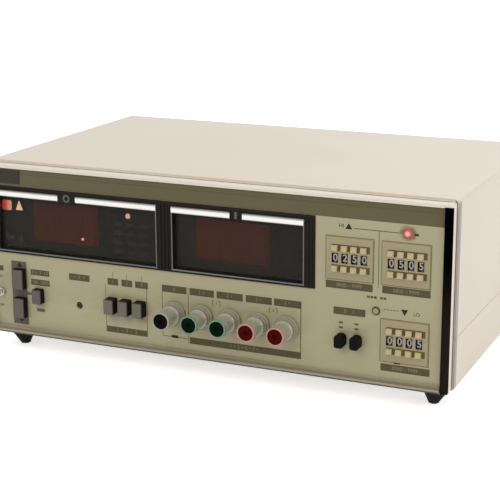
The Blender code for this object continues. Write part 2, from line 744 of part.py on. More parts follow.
def display_box():
    return DISPLAY_LEFT, DISPLAY_RIGHT, z_at(DISPLAY_BOTTOM), z_at(DISPLAY_TOP)


def share_of(span, share):
    """The place at a share of the way along a span."""
    return span[0] + share * (span[1] - span[0])


def frame_outline(window, notch):
    """Window frame as one C-shaped outline, open at the notch in its top bar."""
    low_x, high_x = window
    notch_low = notch[0] - notch[1] / 2
    notch_high = notch[0] + notch[1] / 2
    bottom = z_at(WINDOW_BOTTOM)
    top = z_at(WINDOW_TOP)
    bar = top - FRAME_TOP_BAR
    sill = bottom + FRAME_BOTTOM_BAR
    inner_low = low_x + FRAME_SIDE_BAR
    inner_high = high_x - FRAME_SIDE_BAR
    return [
        (notch_low, top), (low_x, top), (low_x, bottom), (high_x, bottom), (high_x, top), (notch_high, top),
        (notch_high, bar), (inner_high, bar), (inner_high, sill), (inner_low, sill), (inner_low, bar),
        (notch_low, bar),
    ]


def window_cut_outline(window, notch):
    """The opening that takes a frame, with a tab that fills the frame's notch."""
    low_x, high_x = window[0] - GAP, window[1] + GAP
    notch_low = notch[0] - notch[1] / 2 + GAP
    notch_high = notch[0] + notch[1] / 2 - GAP
    bottom = z_at(WINDOW_BOTTOM) - GAP
    top = z_at(WINDOW_TOP) + GAP
    tab = z_at(WINDOW_TOP) - FRAME_TOP_BAR
    return [
        (low_x, bottom), (high_x, bottom), (high_x, top), (notch_high, top),
        (notch_high, tab), (notch_low, tab), (notch_low, top), (low_x, top),
    ]


def build_display(bezel_material, frame_material, lens_material, board_material):
    left_notch = (share_of(LEFT_WINDOW, LEFT_NOTCH_SHARE), LEFT_NOTCH_WIDTH)
    right_notch = (share_of(RIGHT_WINDOW, RIGHT_NOTCH_SHARE), RIGHT_NOTCH_WIDTH)
    windows = (
        ("left", LEFT_WINDOW, left_notch, LEFT_DIGIT_SHARES),
        ("right", RIGHT_WINDOW, right_notch, RIGHT_DIGIT_SHARES),
    )
    front = PANEL_RECESS - DISPLAY_PROUD
    frame_front = front - FRAME_PROUD
    frame_back = frame_front + FRAME_DEPTH
    lens_front = frame_back + GAP
    lens_back = lens_front + LENS_THICKNESS
    seat = lens_back + GAP
    body_back = DISPLAY_BODY_DEPTH

    bm = bmesh.new()
    add_prism(bm, rectangle(*display_box()), "Y", y_at(front), y_at(body_back))
    bezel = make_object("display_bezel", bm, bezel_material)

    flange = bmesh.new()
    _, high_x, low_z, high_z = grow(display_box(), DISPLAY_FLANGE)
    flange_back = PANEL_BACK + GAP + DISPLAY_FLANGE_THICKNESS
    outline = rectangle(DISPLAY_LEFT + GAP, high_x, low_z, high_z)
    add_prism(flange, outline, "Y", y_at(PANEL_BACK + GAP), y_at(flange_back))
    unite(bezel, flange, "flange")

    ribs = bmesh.new()
    divider = (LEFT_WINDOW[1] + RIGHT_WINDOW[0]) / 2
    end = (RIGHT_WINDOW[1] + GAP + DISPLAY_RIGHT) / 2
    for centre, count in ((divider, 3), (end, 2)):
        for index in range(count):
            x = centre + (index - (count - 1) / 2) * RIB_PITCH
            half = RIB_WIDTH / 2
            box_prism(ribs, x - half, x + half, front - RIB_HEIGHT, front + RIB_HEIGHT,
                      DISPLAY_BOTTOM + RIB_WIDTH, DISPLAY_TOP - RIB_WIDTH)
    unite(bezel, ribs, "ribs")

    openings = bmesh.new()
    throats = bmesh.new()
    for _, window, notch, _ in windows:
        outline = window_cut_outline(window, notch)
        add_prism(openings, outline, "Y", y_at(front - GAP), y_at(lens_front - GAP / 2))
        throat = (window[0] + LENS_SEAT, window[1] - LENS_SEAT,
                  z_at(WINDOW_BOTTOM + LENS_SEAT), z_at(WINDOW_TOP - LENS_SEAT))
        add_prism(throats, rectangle(*throat), "Y", y_at(lens_back), y_at(body_back + GAP))
    cut(bezel, openings, "window_openings")

    lens_spaces = bmesh.new()
    for _, window, _, _ in windows:
        space = (window[0] - GAP, window[1] + GAP, z_at(WINDOW_BOTTOM) - GAP, z_at(WINDOW_TOP) + GAP)
        add_prism(lens_spaces, rectangle(*space), "Y", y_at(lens_front - GAP), y_at(seat))
    cut(bezel, lens_spaces, "lens_spaces")
    cut(bezel, throats, "window_throats")

    board_front = body_back + GAP
    board = bmesh.new()
    box_prism(board, DISPLAY_LEFT, DISPLAY_RIGHT, board_front, board_front + BOARD_THICKNESS,
              DISPLAY_BOTTOM, DISPLAY_TOP)
    board_part = make_object("display_board", board, board_material)
    digits = bmesh.new()

    for side, window, notch, digit_shares in windows:
        bm = bmesh.new()
        add_prism(bm, frame_outline(window, notch), "Y", y_at(frame_front), y_at(frame_back))
        bevel(bm, front_edges(bm, frame_front), FRAME_BEVEL, 1)
        make_object(f"window_frame_{side}", bm, frame_material)

        bm = bmesh.new()
        box_prism(bm, window[0], window[1], lens_front, lens_back, WINDOW_BOTTOM, WINDOW_TOP)
        make_object(f"window_lens_{side}", bm, lens_material)

        digit_low, digit_high = [share_of(window, share) for share in digit_shares]
        box_prism(digits, digit_low, digit_high, lens_back + DIGIT_TO_LENS,
                  board_front + BOARD_THICKNESS / 2, DIGIT_BOTTOM, DIGIT_TOP)
    unite(board_part, digits, "digit_modules")


def build_key_board(material):
    low_x, high_x = KEY_BOARD_X
    low_height, high_height = KEY_BOARD_HEIGHTS
    bm = bmesh.new()
    box_prism(bm, low_x, high_x, KEY_BOARD_DEPTH, KEY_BOARD_DEPTH + BOARD_THICKNESS, low_height, high_height)
    board = make_object("key_board", bm, material)

    switches = bmesh.new()
    stem_end = PANEL_BACK + GAP + BUTTON_LIP_THICKNESS + STEM_LENGTH
    switch_front = stem_end + BUTTON_TRAVEL + GAP
    trimmer_seat = PANEL_BACK + GAP + SWITCH_BODY_SIZE / 2
    bodies = [(place, switch_front) for _, place, _, _, _ in button_specs()]
    bodies.append((TRIMMER_PLACE, trimmer_seat))
    root = y_at(KEY_BOARD_DEPTH + BOARD_THICKNESS / 2)
    for place, face in bodies:
        box = centred_box(place, (SWITCH_BODY_SIZE, SWITCH_BODY_SIZE))
        add_prism(switches, rectangle(*box), "Y", y_at(face), root)
    unite(board, switches, "switches")


def build_trimmer(material):
    x, height = TRIMMER_PLACE
    front = PANEL_RECESS + TRIMMER_SUNK
    back = PANEL_BACK + SWITCH_BODY_SIZE / 2
    bm = bmesh.new()
    profile = [
        (0.0, y_at(front)),
        (TRIMMER_RADIUS, y_at(front)),
        (TRIMMER_RADIUS, y_at(back)),
        (0.0, y_at(back)),
    ]
    add_turned(bm, profile, (x, z_at(height)), "Y", FINE_STEPS)
    trimmer = make_object("zero_trimmer", bm, material, (x, y_at(front), z_at(height)), smooth=True)
    slot = bmesh.new()
    low_z = z_at(height) - TRIMMER_SLOT_WIDTH / 2
    outline = rectangle(x - 2 * TRIMMER_RADIUS, x + 2 * TRIMMER_RADIUS, low_z, low_z + TRIMMER_SLOT_WIDTH)
    add_prism(slot, outline, "Y", y_at(front - GAP), y_at(front + TRIMMER_SLOT_DEPTH))
    cut(trimmer, slot, "slot")


def build_leds(lit_material, clear_material):
    back = PANEL_BACK + GAP + LED_FLANGE
    for name, place, material in (
        ("limit_led", LIMIT_LED_PLACE, lit_material),
        ("ring_led", RING_LED_PLACE, clear_material),
    ):
        bm = bmesh.new()
        dome = [arc_point(1.0, angle) for angle in (0, 30, 60, 90)]
        profile = [(LED_RADIUS * out, y_at(PANEL_RECESS) - LED_DOME_REACH * along) for out, along in dome]
        profile += [
            (LED_RADIUS, y_at(PANEL_BACK + GAP)),
            (LED_RADIUS + 2 * GAP, y_at(PANEL_BACK + GAP)),
            (LED_RADIUS + 2 * GAP, y_at(back)),
            (LED_RADIUS, y_at(back)),
            (LED_RADIUS, y_at(PANEL_RECESS + LED_BARREL)),
            (0.0, y_at(PANEL_RECESS + LED_BARREL)),
        ]
        add_turned(bm, profile, (place[0], z_at(place[1])), "Y")
        make_object(name, bm, material, smooth=True)


def arc_point(radius, angle):
    """A point on a half circle as its distance from the axis and its place along it."""
    turn = math.radians(angle)
    return abs(radius * math.sin(turn)), radius * math.cos(turn)


def build_power_switch(metal):
    x, height = POWER_PLACE
    z = z_at(height)
    pivot = PANEL_RECESS - POWER_PIVOT_REACH
    bush_front = PANEL_RECESS - POWER_BUSH_REACH
    body_front = PANEL_BACK + GAP
    bm = bmesh.new()
    profile = [
        (POWER_SOCKET_RADIUS, y_at(bush_front)),
        (POWER_BUSH_RADIUS, y_at(bush_front)),
        (POWER_BUSH_RADIUS, y_at(PANEL_RECESS - GAP - POWER_NUT_THICKNESS)),
        (POWER_NUT_RADIUS, y_at(PANEL_RECESS - GAP - POWER_NUT_THICKNESS)),
        (POWER_NUT_RADIUS, y_at(PANEL_RECESS - GAP)),
        (POWER_BUSH_RADIUS, y_at(PANEL_RECESS - GAP)),
        (POWER_BUSH_RADIUS, y_at(body_front + POWER_NUT_THICKNESS)),
        (POWER_SOCKET_RADIUS, y_at(body_front + POWER_NUT_THICKNESS)),
    ]
    add_turned(bm, profile, (x, z), "Y", FINE_STEPS)
    switch = make_object("power_switch_body", bm, metal, smooth=True)
    body = bmesh.new()
    half_x = POWER_BODY_SIZE[0] / 2
    half_z = POWER_BODY_SIZE[1] / 2
    outline = rectangle(x - half_x, x + half_x, z - half_z, z + half_z)
    add_prism(body, outline, "Y", y_at(body_front), y_at(body_front + POWER_BODY_SIZE[2]))
    unite(switch, body, "body")

    lever = bmesh.new()
    tip = pivot - POWER_LEVER_REACH
    ball = [arc_point(POWER_BALL_RADIUS, angle) for angle in (0, 30, 60, 90, 120, 145)]
    end = [arc_point(POWER_LEVER_TIP, angle) for angle in (90, 135, 180)]
    profile = [(radius, y_at(pivot + along)) for radius, along in ball]
    profile.append((POWER_LEVER_NECK, y_at(pivot - 2 * POWER_BALL_RADIUS)))
    profile += [(radius, y_at(tip + POWER_LEVER_TIP + along)) for radius, along in end]
    add_turned(lever, profile, (x, z), "Y")
    origin = (x, y_at(pivot), z)
    to_pivot = Matrix.Translation([-value for value in origin])
    tilt = Matrix.Rotation(math.radians(-POWER_LEVER_TILT), 4, "X")
    bmesh.ops.transform(lever, matrix=Matrix.Translation(origin) @ tilt @ to_pivot, verts=lever.verts)
    make_object("power_lever", lever, metal, origin, smooth=True)


def post_x(index):
    return POST_FIRST_X + index * POST_PITCH


def build_binding_posts(base_material, nut_material):
    base_profile = [
        (0.0, PANEL_RECESS - COLLAR_REACH - STUD_REACH),
        (STUD_RADIUS, PANEL_RECESS - COLLAR_REACH - STUD_REACH),
        (STUD_RADIUS, PANEL_RECESS - COLLAR_REACH),
        (COLLAR_STEP_RADIUS - NUT_GROOVE, PANEL_RECESS - COLLAR_REACH),
        (COLLAR_STEP_RADIUS, PANEL_RECESS - COLLAR_REACH + NUT_GROOVE),
        (COLLAR_STEP_RADIUS, PANEL_RECESS - COLLAR_STEP),
        (COLLAR_RADIUS, PANEL_RECESS - COLLAR_STEP),
        (COLLAR_RADIUS, PANEL_RECESS - GAP),
        (BUSH_RADIUS, PANEL_RECESS - GAP),
        (BUSH_RADIUS, PANEL_BACK + COLLAR_STEP),
        (STUD_RADIUS, PANEL_BACK + COLLAR_STEP),
        (STUD_RADIUS, PANEL_BACK + STUD_TAIL),
        (0.0, PANEL_BACK + STUD_TAIL),
    ]
    nut_back = PANEL_RECESS - COLLAR_REACH - GAP
    nut_front = PANEL_RECESS - POST_REACH
    skirt = nut_back - NUT_SKIRT_LENGTH
    head = nut_front + NUT_HEAD_LENGTH
    bore = STUD_RADIUS + GAP
    shoulder = PANEL_RECESS - COLLAR_REACH - STUD_REACH - GAP
    nut_profile = [
        (bore, nut_back),
        (NUT_SKIRT_RADIUS - NUT_GROOVE, nut_back),
        (NUT_SKIRT_RADIUS, nut_back - NUT_GROOVE),
        (NUT_SKIRT_RADIUS, skirt),
        (NUT_BODY_RADIUS - NUT_GROOVE, skirt - NUT_GROOVE),
        (NUT_BODY_RADIUS, skirt - 2 * NUT_GROOVE),
        (NUT_BODY_RADIUS, head + 2 * NUT_GROOVE),
        (NUT_BODY_RADIUS - NUT_GROOVE, head + NUT_GROOVE),
        (NUT_HEAD_RADIUS, head),
        (NUT_HEAD_RADIUS, nut_front + NUT_GROOVE),
        (NUT_HEAD_RADIUS - NUT_GROOVE, nut_front),
        (NUT_FACE_RADIUS, nut_front),
        (NUT_FACE_RADIUS, nut_front + NUT_FACE_RECESS),
        (PLUG_BORE_RADIUS, nut_front + NUT_FACE_RECESS),
        (PLUG_BORE_RADIUS, shoulder),
        (bore, shoulder),
    ]
    for index in range(POST_COUNT):
        centre = (post_x(index), z_at(POST_HEIGHT))
        bm = bmesh.new()
        add_turned(bm, [(radius, y_at(depth)) for radius, depth in base_profile], centre, "Y")
        make_object(f"post_base_{index + 1}", bm, base_material, smooth=True)
        bm = bmesh.new()
        add_turned(bm, [(radius, y_at(depth)) for radius, depth in nut_profile], centre, "Y")
        origin = (centre[0], y_at(nut_back), centre[1])
        make_object(f"post_nut_{index + 1}", bm, nut_material, origin, smooth=True)


def bank_body_size():
    return BANK_WIDTH - 2 * BANK_FLANGE, BANK_HEIGHT - 2 * BANK_FLANGE


def decade_x(place, index):
    return place[0] + (index - (DECADE_COUNT - 1) / 2) * DECADE_PITCH


def build_pushwheel_bank(label, place, housing_material, wheel_material):
    z = z_at(place[1])
    centre_y = y_at(WHEEL_CENTRE_DEPTH)
    bm = bmesh.new()
    add_prism(bm, rectangle(*centred_box(place, (BANK_WIDTH, BANK_HEIGHT))), "Y",
              y_at(BANK_FACE), y_at(PANEL_RECESS - GAP))
    housing = make_object(f"pushwheel_housing_{label}", bm, housing_material)

    body = bmesh.new()
    add_prism(body, rectangle(*centred_box(place, bank_body_size())), "Y",
              y_at(BANK_FACE + BANK_FLANGE_THICKNESS / 2), y_at(BANK_FACE + BANK_BODY_DEPTH))
    unite(housing, body, "body")

    spaces = bmesh.new()
    windows = bmesh.new()
    pushers = bmesh.new()
    half_space = WHEEL_WIDTH / 2 + GAP
    for index in range(DECADE_COUNT):
        x = decade_x(place, index)
        outline = circle(centre_y, z, WHEEL_SPACE_RADIUS)
        add_prism(spaces, outline, "X", x - half_space, x + half_space)
        window = centred_box((x, place[1]), DIGIT_WINDOW)
        add_prism(windows, rectangle(*window), "Y", y_at(BANK_FACE - GAP), centre_y - WHEEL_APOTHEM / 2)
        for side in (-1.0, 1.0):
            pusher = centred_box((x, place[1] + side * PUSHER_OFFSET), PUSHER_SIZE)
            add_prism(pushers, rectangle(*pusher), "Y",
                      y_at(BANK_FACE - PUSHER_PROUD), y_at(BANK_FACE + BANK_FLANGE_THICKNESS / 2))
    cut(housing, spaces, "wheel_spaces")
    cut(housing, windows, "digit_windows")
    unite(housing, pushers, "pushers")

    axle = bmesh.new()
    reach = DECADE_COUNT * DECADE_PITCH / 2
    add_prism(axle, circle(centre_y, z, AXLE_RADIUS, STUD_STEPS), "X", place[0] - reach, place[0] + reach)
    unite(housing, axle, "axle")

    corner_radius = WHEEL_APOTHEM / math.cos(math.pi / WHEEL_FACES)
    for index in range(DECADE_COUNT):
        x = decade_x(place, index)
        half = WHEEL_WIDTH / 2
        rim = circle(centre_y, z, corner_radius, WHEEL_FACES, math.pi / WHEEL_FACES)
        bore = circle(centre_y, z, AXLE_RADIUS + GAP, WHEEL_FACES, math.pi / WHEEL_FACES)
        bm = bmesh.new()
        corners = [(rim, x - half), (rim, x + half), (bore, x + half), (bore, x - half)]
        rows = [[bm.verts.new((along, y, z_point)) for y, z_point in outline] for outline, along in corners]
        for row, next_row in zip(rows, rows[1:] + rows[:1]):
            for step in range(WHEEL_FACES):
                follow = (step + 1) % WHEEL_FACES
                bm.faces.new((row[step], row[follow], next_row[follow], next_row[step]))
        make_object(f"digit_wheel_{label}_{index + 1}", bm, wheel_material, (x, centre_y, z))


def build_mains_inlet(material):
    x, height = INLET_PLACE
    face = REAR_FACE_DEPTH + GAP + INLET_FLANGE_THICKNESS
    bm = bmesh.new()
    flange_box = centred_box(INLET_PLACE, INLET_FLANGE)
    outline = rounded_rectangle(*flange_box, INLET_CORNER_RADIUS, INLET_CORNER_RADIUS)
    add_prism(bm, outline, "Y", y_at(REAR_FACE_DEPTH + GAP), y_at(face))
    inlet = make_object("mains_inlet", bm, material)
    body = bmesh.new()
    add_prism(body, rectangle(*centred_box(INLET_PLACE, INLET_BODY)), "Y",
              y_at(face - INLET_BODY_DEPTH), y_at(REAR_FACE_DEPTH + GAP + INLET_FLANGE_THICKNESS / 2))
    unite(inlet, body, "body")
    cavity = bmesh.new()
    add_prism(cavity, rectangle(*centred_box(INLET_PLACE, INLET_CAVITY)), "Y",
              y_at(face - INLET_CAVITY_DEPTH), y_at(face + GAP))
    cut(inlet, cavity, "cavity")
    pins = bmesh.new()
    floor = face - INLET_CAVITY_DEPTH
    for pin_x, rise in PIN_PLACES:
        outline = rectangle(*centred_box((x + pin_x, height + rise), PIN_SIZE))
        add_prism(pins, outline, "Y", y_at(floor - GAP), y_at(floor + PIN_LENGTH))
    unite(inlet, pins, "pins")


def build_fuse_holder(material):
    x, height = FUSE_PLACE
    face = REAR_FACE_DEPTH + GAP + FUSE_CAP_REACH
    bm = bmesh.new()
    profile = [
        (0.0, y_at(face)),
        (FUSE_CAP_RADIUS - 2 * GAP, y_at(face)),
        (FUSE_CAP_RADIUS, y_at(face - 2 * GAP)),
        (FUSE_CAP_RADIUS, y_at(REAR_FACE_DEPTH + GAP)),
        (FUSE_BODY_RADIUS, y_at(REAR_FACE_DEPTH + GAP)),
        (FUSE_BODY_RADIUS, y_at(REAR_FACE_DEPTH - FUSE_BODY_LENGTH)),
        (0.0, y_at(REAR_FACE_DEPTH - FUSE_BODY_LENGTH)),
    ]
    add_turned(bm, profile, (x, z_at(height)), "Y")
    holder = make_object("fuse_holder", bm, material, smooth=True)
    slot = bmesh.new()
    length, width, slot_depth = FUSE_CAP_SLOT
    outline = rectangle(*centred_box(FUSE_PLACE, (length, width)))
    add_prism(slot, outline, "Y", y_at(face - slot_depth), y_at(face + GAP))
    cut(holder, slot, "slot")


def main_board_corners():
    low_x, high_x = MAIN_BOARD_X
    low_depth, high_depth = MAIN_BOARD_DEPTHS
    return [
        (x, depth)
        for x in (low_x + MAIN_BOARD_EDGE, high_x - MAIN_BOARD_EDGE)
        for depth in (low_depth + MAIN_BOARD_EDGE, high_depth - MAIN_BOARD_EDGE)
    ]


def build_main_board(material):
    bottom = COVER_THICKNESS + STANDOFF_HEIGHT + GAP
    top = bottom + BOARD_THICKNESS
    low_x, high_x = MAIN_BOARD_X
    low_depth, high_depth = MAIN_BOARD_DEPTHS
    bm = bmesh.new()
    add_prism(bm, rectangle(low_x, high_x, y_at(low_depth), y_at(high_depth)), "Z", z_at(bottom), z_at(top))
    board = make_object("main_board", bm, material)
    parts = bmesh.new()
    root = z_at(bottom + BOARD_THICKNESS / 2)
    for row in range(CHIP_ROWS):
        for column in range(CHIP_COLUMNS):
            x = low_x + CHIP_PITCH[0] * (column + 1)
            depth = low_depth + CHIP_PITCH[1] * (row + 1)
            half_x = CHIP_SIZE[0] / 2
            half_y = CHIP_SIZE[1] / 2
            outline = rectangle(x - half_x, x + half_x, y_at(depth - half_y), y_at(depth + half_y))
            add_prism(parts, outline, "Z", root, z_at(top + CHIP_SIZE[2]))
    for index in range(CAPACITOR_COUNT):
        x = high_x - CAPACITOR_PITCH * (index + 1)
        depth = high_depth - CAPACITOR_PITCH
        outline = circle(x, y_at(depth), CAPACITOR_RADIUS)
        add_prism(parts, outline, "Z", root, z_at(top + CAPACITOR_HEIGHT))
    unite(board, parts, "components")


def build_transformer(material):
    x, depth = TRANSFORMER_PLACE
    bottom = COVER_THICKNESS + GAP
    bm = bmesh.new()
    half_x, half_y = CORE_SIZE[0] / 2, CORE_SIZE[1] / 2
    outline = rectangle(x - half_x, x + half_x, y_at(depth - half_y), y_at(depth + half_y))
    add_prism(bm, outline, "Z", z_at(bottom + CORE_FOOT[2] / 2), z_at(bottom + CORE_SIZE[2]))
    core = make_object("power_transformer", bm, material)
    rest = bmesh.new()
    half_x, half_y = CORE_FOOT[0] / 2, CORE_FOOT[1] / 2
    outline = rectangle(x - half_x, x + half_x, y_at(depth - half_y) + GAP, y_at(depth + half_y) - GAP)
    add_prism(rest, outline, "Z", z_at(bottom), z_at(bottom + CORE_FOOT[2]))
    half_x, half_y = COIL_SIZE[0] / 2, COIL_SIZE[1] / 2
    low_z = z_at(bottom + (CORE_SIZE[2] - COIL_SIZE[2]) / 2)
    outline = rectangle(x - half_x, x + half_x, y_at(depth - half_y), y_at(depth + half_y))
    add_prism(rest, outline, "Z", low_z, low_z + COIL_SIZE[2])
    unite(core, rest, "coil_and_foot")


def build_meter():
    clear_scene()
    cream = make_material("cream_paint", (0.72, 0.66, 0.58), 0.55)
    bezel = make_material("bezel_enamel", (0.70, 0.66, 0.55), 0.45)
    olive = make_material("panel_enamel", (0.38, 0.35, 0.21), 0.5)
    black = make_material("black_plastic", (0.012, 0.012, 0.014), 0.35)
    rubber = make_material("black_rubber", (0.015, 0.015, 0.015), 0.8)
    silver = make_material("satin_silver", (0.75, 0.76, 0.74), 0.25, 1.0)
    smoked = make_material("smoked_lens", (0.03, 0.02, 0.02), 0.1)
    grey = make_material("grey_plastic", (0.18, 0.16, 0.15), 0.5)
    post_plastic = make_material("pale_post_plastic", (0.55, 0.54, 0.45), 0.4)
    nickel = make_material("nickel", (0.60, 0.58, 0.50), 0.3, 0.6)
    housing = make_material("switch_olive", (0.36, 0.32, 0.15), 0.5)
    wheel = make_material("wheel_black", (0.04, 0.04, 0.04), 0.5)
    board = make_material("circuit_board", (0.05, 0.16, 0.07), 0.6)
    steel = make_material("transformer_steel", (0.25, 0.24, 0.23), 0.5, 0.5)
    lit = make_material("lit_red", (0.90, 0.30, 0.25), 0.3)
    clear = make_material("clear_led", (0.60, 0.58, 0.45), 0.2)
    galvanised = make_material("rear_enamel", (0.45, 0.42, 0.34), 0.5)

    build_front_bezel(bezel)
    build_side_strips(black)
    build_covers(cream, cream)
    build_rear_panel(galvanised)
    build_feet(rubber)
    build_front_panel(olive)
    build_display(black, silver, smoked, board)
    build_buttons(grey, black)
    build_key_board(board)
    build_trimmer(nickel)
    build_leds(lit, clear)
    build_power_switch(nickel)
    build_binding_posts(post_plastic, nickel)
    build_pushwheel_bank("upper_left", UPPER_LEFT_BANK, housing, wheel)
    build_pushwheel_bank("upper_right", UPPER_RIGHT_BANK, housing, wheel)
    build_pushwheel_bank("lower", LOWER_BANK, housing, wheel)
    build_mains_inlet(black)
    build_fuse_holder(black)
    build_main_board(board)
    build_transformer(steel)


build_meter()
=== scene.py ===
"""Looks of a bench component meter: enamelled case, smoked displays, keys, posts and number wheels.

The scene is in metres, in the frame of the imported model: the front faces -Y and +Z is up. Tables give
millimetres, across from the middle of the case and above its floor.
"""
import json
import math

import bmesh
import bpy
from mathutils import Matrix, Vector

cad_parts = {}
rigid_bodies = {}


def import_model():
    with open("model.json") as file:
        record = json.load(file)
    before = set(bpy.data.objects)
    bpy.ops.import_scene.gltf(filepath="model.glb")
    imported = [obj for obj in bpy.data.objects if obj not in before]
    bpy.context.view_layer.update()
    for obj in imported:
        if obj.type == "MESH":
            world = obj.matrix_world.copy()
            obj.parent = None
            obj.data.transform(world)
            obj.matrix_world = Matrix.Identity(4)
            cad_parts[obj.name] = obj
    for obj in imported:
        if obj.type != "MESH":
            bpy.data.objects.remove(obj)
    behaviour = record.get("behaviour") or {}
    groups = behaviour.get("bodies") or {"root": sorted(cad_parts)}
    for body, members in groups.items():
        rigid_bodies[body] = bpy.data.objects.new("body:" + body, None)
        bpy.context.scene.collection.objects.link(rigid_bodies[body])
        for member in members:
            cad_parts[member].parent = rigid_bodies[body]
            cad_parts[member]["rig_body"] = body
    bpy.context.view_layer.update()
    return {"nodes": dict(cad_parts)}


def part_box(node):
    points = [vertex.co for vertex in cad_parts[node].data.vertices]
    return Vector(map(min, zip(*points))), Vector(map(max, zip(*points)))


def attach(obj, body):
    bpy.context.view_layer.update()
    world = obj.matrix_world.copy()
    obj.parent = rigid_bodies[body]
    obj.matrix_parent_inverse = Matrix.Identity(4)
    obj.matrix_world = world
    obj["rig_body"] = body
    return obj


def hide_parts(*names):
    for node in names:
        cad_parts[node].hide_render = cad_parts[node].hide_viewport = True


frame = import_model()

MM = 0.001
MICRON = 0.000001
CASE_LOW, CASE_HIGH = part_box("front_bezel")
CASE_FLOOR = CASE_LOW.z
BEZEL_FACE = CASE_LOW.y
COVER_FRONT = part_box("top_cover")[0].y
PANEL_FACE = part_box("front_panel")[0].y
LENS_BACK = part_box("window_lens_right")[1].y
BOARD_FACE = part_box("display_board")[0].y

# The body that carries all that doesn't move
CHASSIS = "chassis"

# How far a printed mark stands out of a face, and reaches into it
PRINT_THICKNESS = 0.06 * MM
PRINT_SINK = 0.02 * MM

# Heights of the bands on the front, and how deep the rail's colours reach and the painted groove shade begins
HEADER_BOTTOM = 133.6
HEADER_LINE = (143.9, 144.9)
RAIL_TOP = 6.8
RAIL_DARKEST = 4.8
RAIL_BRIGHT = (1.5, 3.2)
RAIL_DEPTH = 0.9
GROOVE_DEPTH = 9.8
# Heights between which the painted sheen on the side strips grows
STRIP_SHEEN_HEIGHTS = (112, 42)

# The bar over a window: its middle, and how far from there its painted shade begins and is darkest
BAR_MIDDLE = 126.7
BAR_FADE = (0.9, 3.2)

# Painted shade on the front edge of the covers: how deep it fades, how far outside the bezel it lies, and
# where it fades above
EDGE_DEPTH = (7.0, 5.0)
EDGE_OUTSIDE = 0.8
EDGE_ABOVE = (1.0, -2.0)

# Number wheel banks and the number that each wheel shows, and the left, right, bottom and top of a dark slot
# about its pusher, which is partly painted shadow to the pusher's right and above
BANKS = {"upper_left": (0, 2, 5, 0), "upper_right": (0, 5, 0, 5), "lower": (0, 0, 0, 5)}
BANK_SIZE = (38.5, 34.0)
BANK_PROUD = 1.2
WHEEL_PITCH = 8.0
WHEEL_RADIUS = 9.8
WHEEL_STEP = math.radians(36.0)
NUMBER_SIZE = 8.2
PUSHER_SIZE = (4.92, 4.52)
PUSHER_OFFSET = 8.3
PUSHER_REACH = 3.9
PUSHER_SLOPE = 0.5
SLOT_AND_SHADOW = (-2.7, 5.1, -2.4, 3.1)

# Digit modules behind the lenses: the ends of each, its digits, and the heights and fade of the red cast
DIGIT_AREAS = {"left": (-166.1, -101.6), "right": (-8.9, 56.3)}
DIGIT_SIZE = (10.5, 21.0)
DIGIT_BOTTOM = 92.0
DIGIT_MARGIN = 2.2
POINT_SHIFT = 11.8
POINT_SIZE = 1.6
CAST_HEIGHTS = (86, 120)
CAST_FADE = (6.0, 4.0)

POST_COLOURS = ("black", "green", "green", "red", "red")
FOOT_PAD_SHIFT = 1.8


def up(height):
    """A height above the case floor, in metres above the ground."""
    return CASE_FLOOR + height * MM


def at(x, height):
    """A point on the face of the front panel."""
    return Vector((x * MM, PANEL_FACE, up(height)))


def place_of(node):
    """Millimetres across and above the case floor of the middle of a node."""
    low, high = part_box(node)
    return (low.x + high.x) / 2 / MM, ((low.z + high.z) / 2 - CASE_FLOOR) / MM


# The lit lamp, the radii where it and its painted glow on the panel fade, and where across the lit window
# pales
LIMIT_LAMP = at(*place_of("limit_led"))
LAMP_PALE = (0.9, 2.4)
GLOW_RADII = (2.2, 7.0)
WINDOW_PALE = (-194.5, -189.5)


# Nodes of a finish


def swatch(red, green, blue):
    """A paint colour from its 0 to 255 screen values."""
    def linear(value):
        share = value / 255
        return share / 12.92 if share <= 0.04045 else ((share + 0.055) / 1.055) ** 2.4
    return (linear(red), linear(green), linear(blue), 1.0)


def put(tree, kind, inputs=(), **settings):
    """Adds a node, with its settings, and its inputs set to a value or wired to an output."""
    node = tree.nodes.new(kind)
    for name, value in settings.items():
        setattr(node, name, value)
    for name, value in dict(inputs).items():
        if isinstance(value, bpy.types.NodeSocket):
            tree.links.new(value, node.inputs[name])
        else:
            node.inputs[name].default_value = value
    return node


def blend(tree, share, first, second, how="MIX"):
    """A colour mix: first where share is 0, second where it is 1."""
    return put(tree, "ShaderNodeMix", {"Factor": share, 6: first, 7: second},
               data_type="RGBA", blend_type=how).outputs[2]


def maths(tree, how, first, second=0.0):
    """The output of a Math node."""
    return put(tree, "ShaderNodeMath", {0: first, 1: second}, operation=how).outputs[0]


def times(tree, first, second):
    """The product of two values."""
    return maths(tree, "MULTIPLY", first, second)


def grade(tree, value, start, end, low=0.0, high=1.0, curve="LINEAR"):
    """A value taken from one range to another, and held at its ends."""
    return put(tree, "ShaderNodeMapRange", {
        "Value": value, "From Min": start, "From Max": end, "To Min": low, "To Max": high},
        interpolation_type=curve).outputs[0]


def ramp(tree, value, start, end):
    """0 up to the first limit, changing smoothly to 1 at the second."""
    return grade(tree, value, start, end, curve="SMOOTHSTEP")


def own_place(tree):
    """The piece's own coordinates."""
    return put(tree, "ShaderNodeTexCoord").outputs["Object"]


def axes_of(tree):
    """The piece's own coordinates, as X, Y and Z."""
    return put(tree, "ShaderNodeSeparateXYZ", {"Vector": own_place(tree)}).outputs


def noise(tree, scale, detail, roughness=0.5, stretch=None, turn=(0, 0, 0)):
    """A noise pattern in the piece's own coordinates, which may be stretched and turned."""
    place = own_place(tree)
    if stretch:
        place = put(tree, "ShaderNodeMapping", {
            "Vector": place, "Rotation": turn, "Scale": stretch}).outputs[0]
    return put(tree, "ShaderNodeTexNoise", {
        "Vector": place, "Scale": scale, "Detail": detail, "Roughness": roughness}).outputs["Fac"]


def within(tree, value, low, high):
    """1 where a value lies between two limits, else 0."""
    return times(tree, maths(tree, "GREATER_THAN", value, low),
                 maths(tree, "LESS_THAN", value, high))


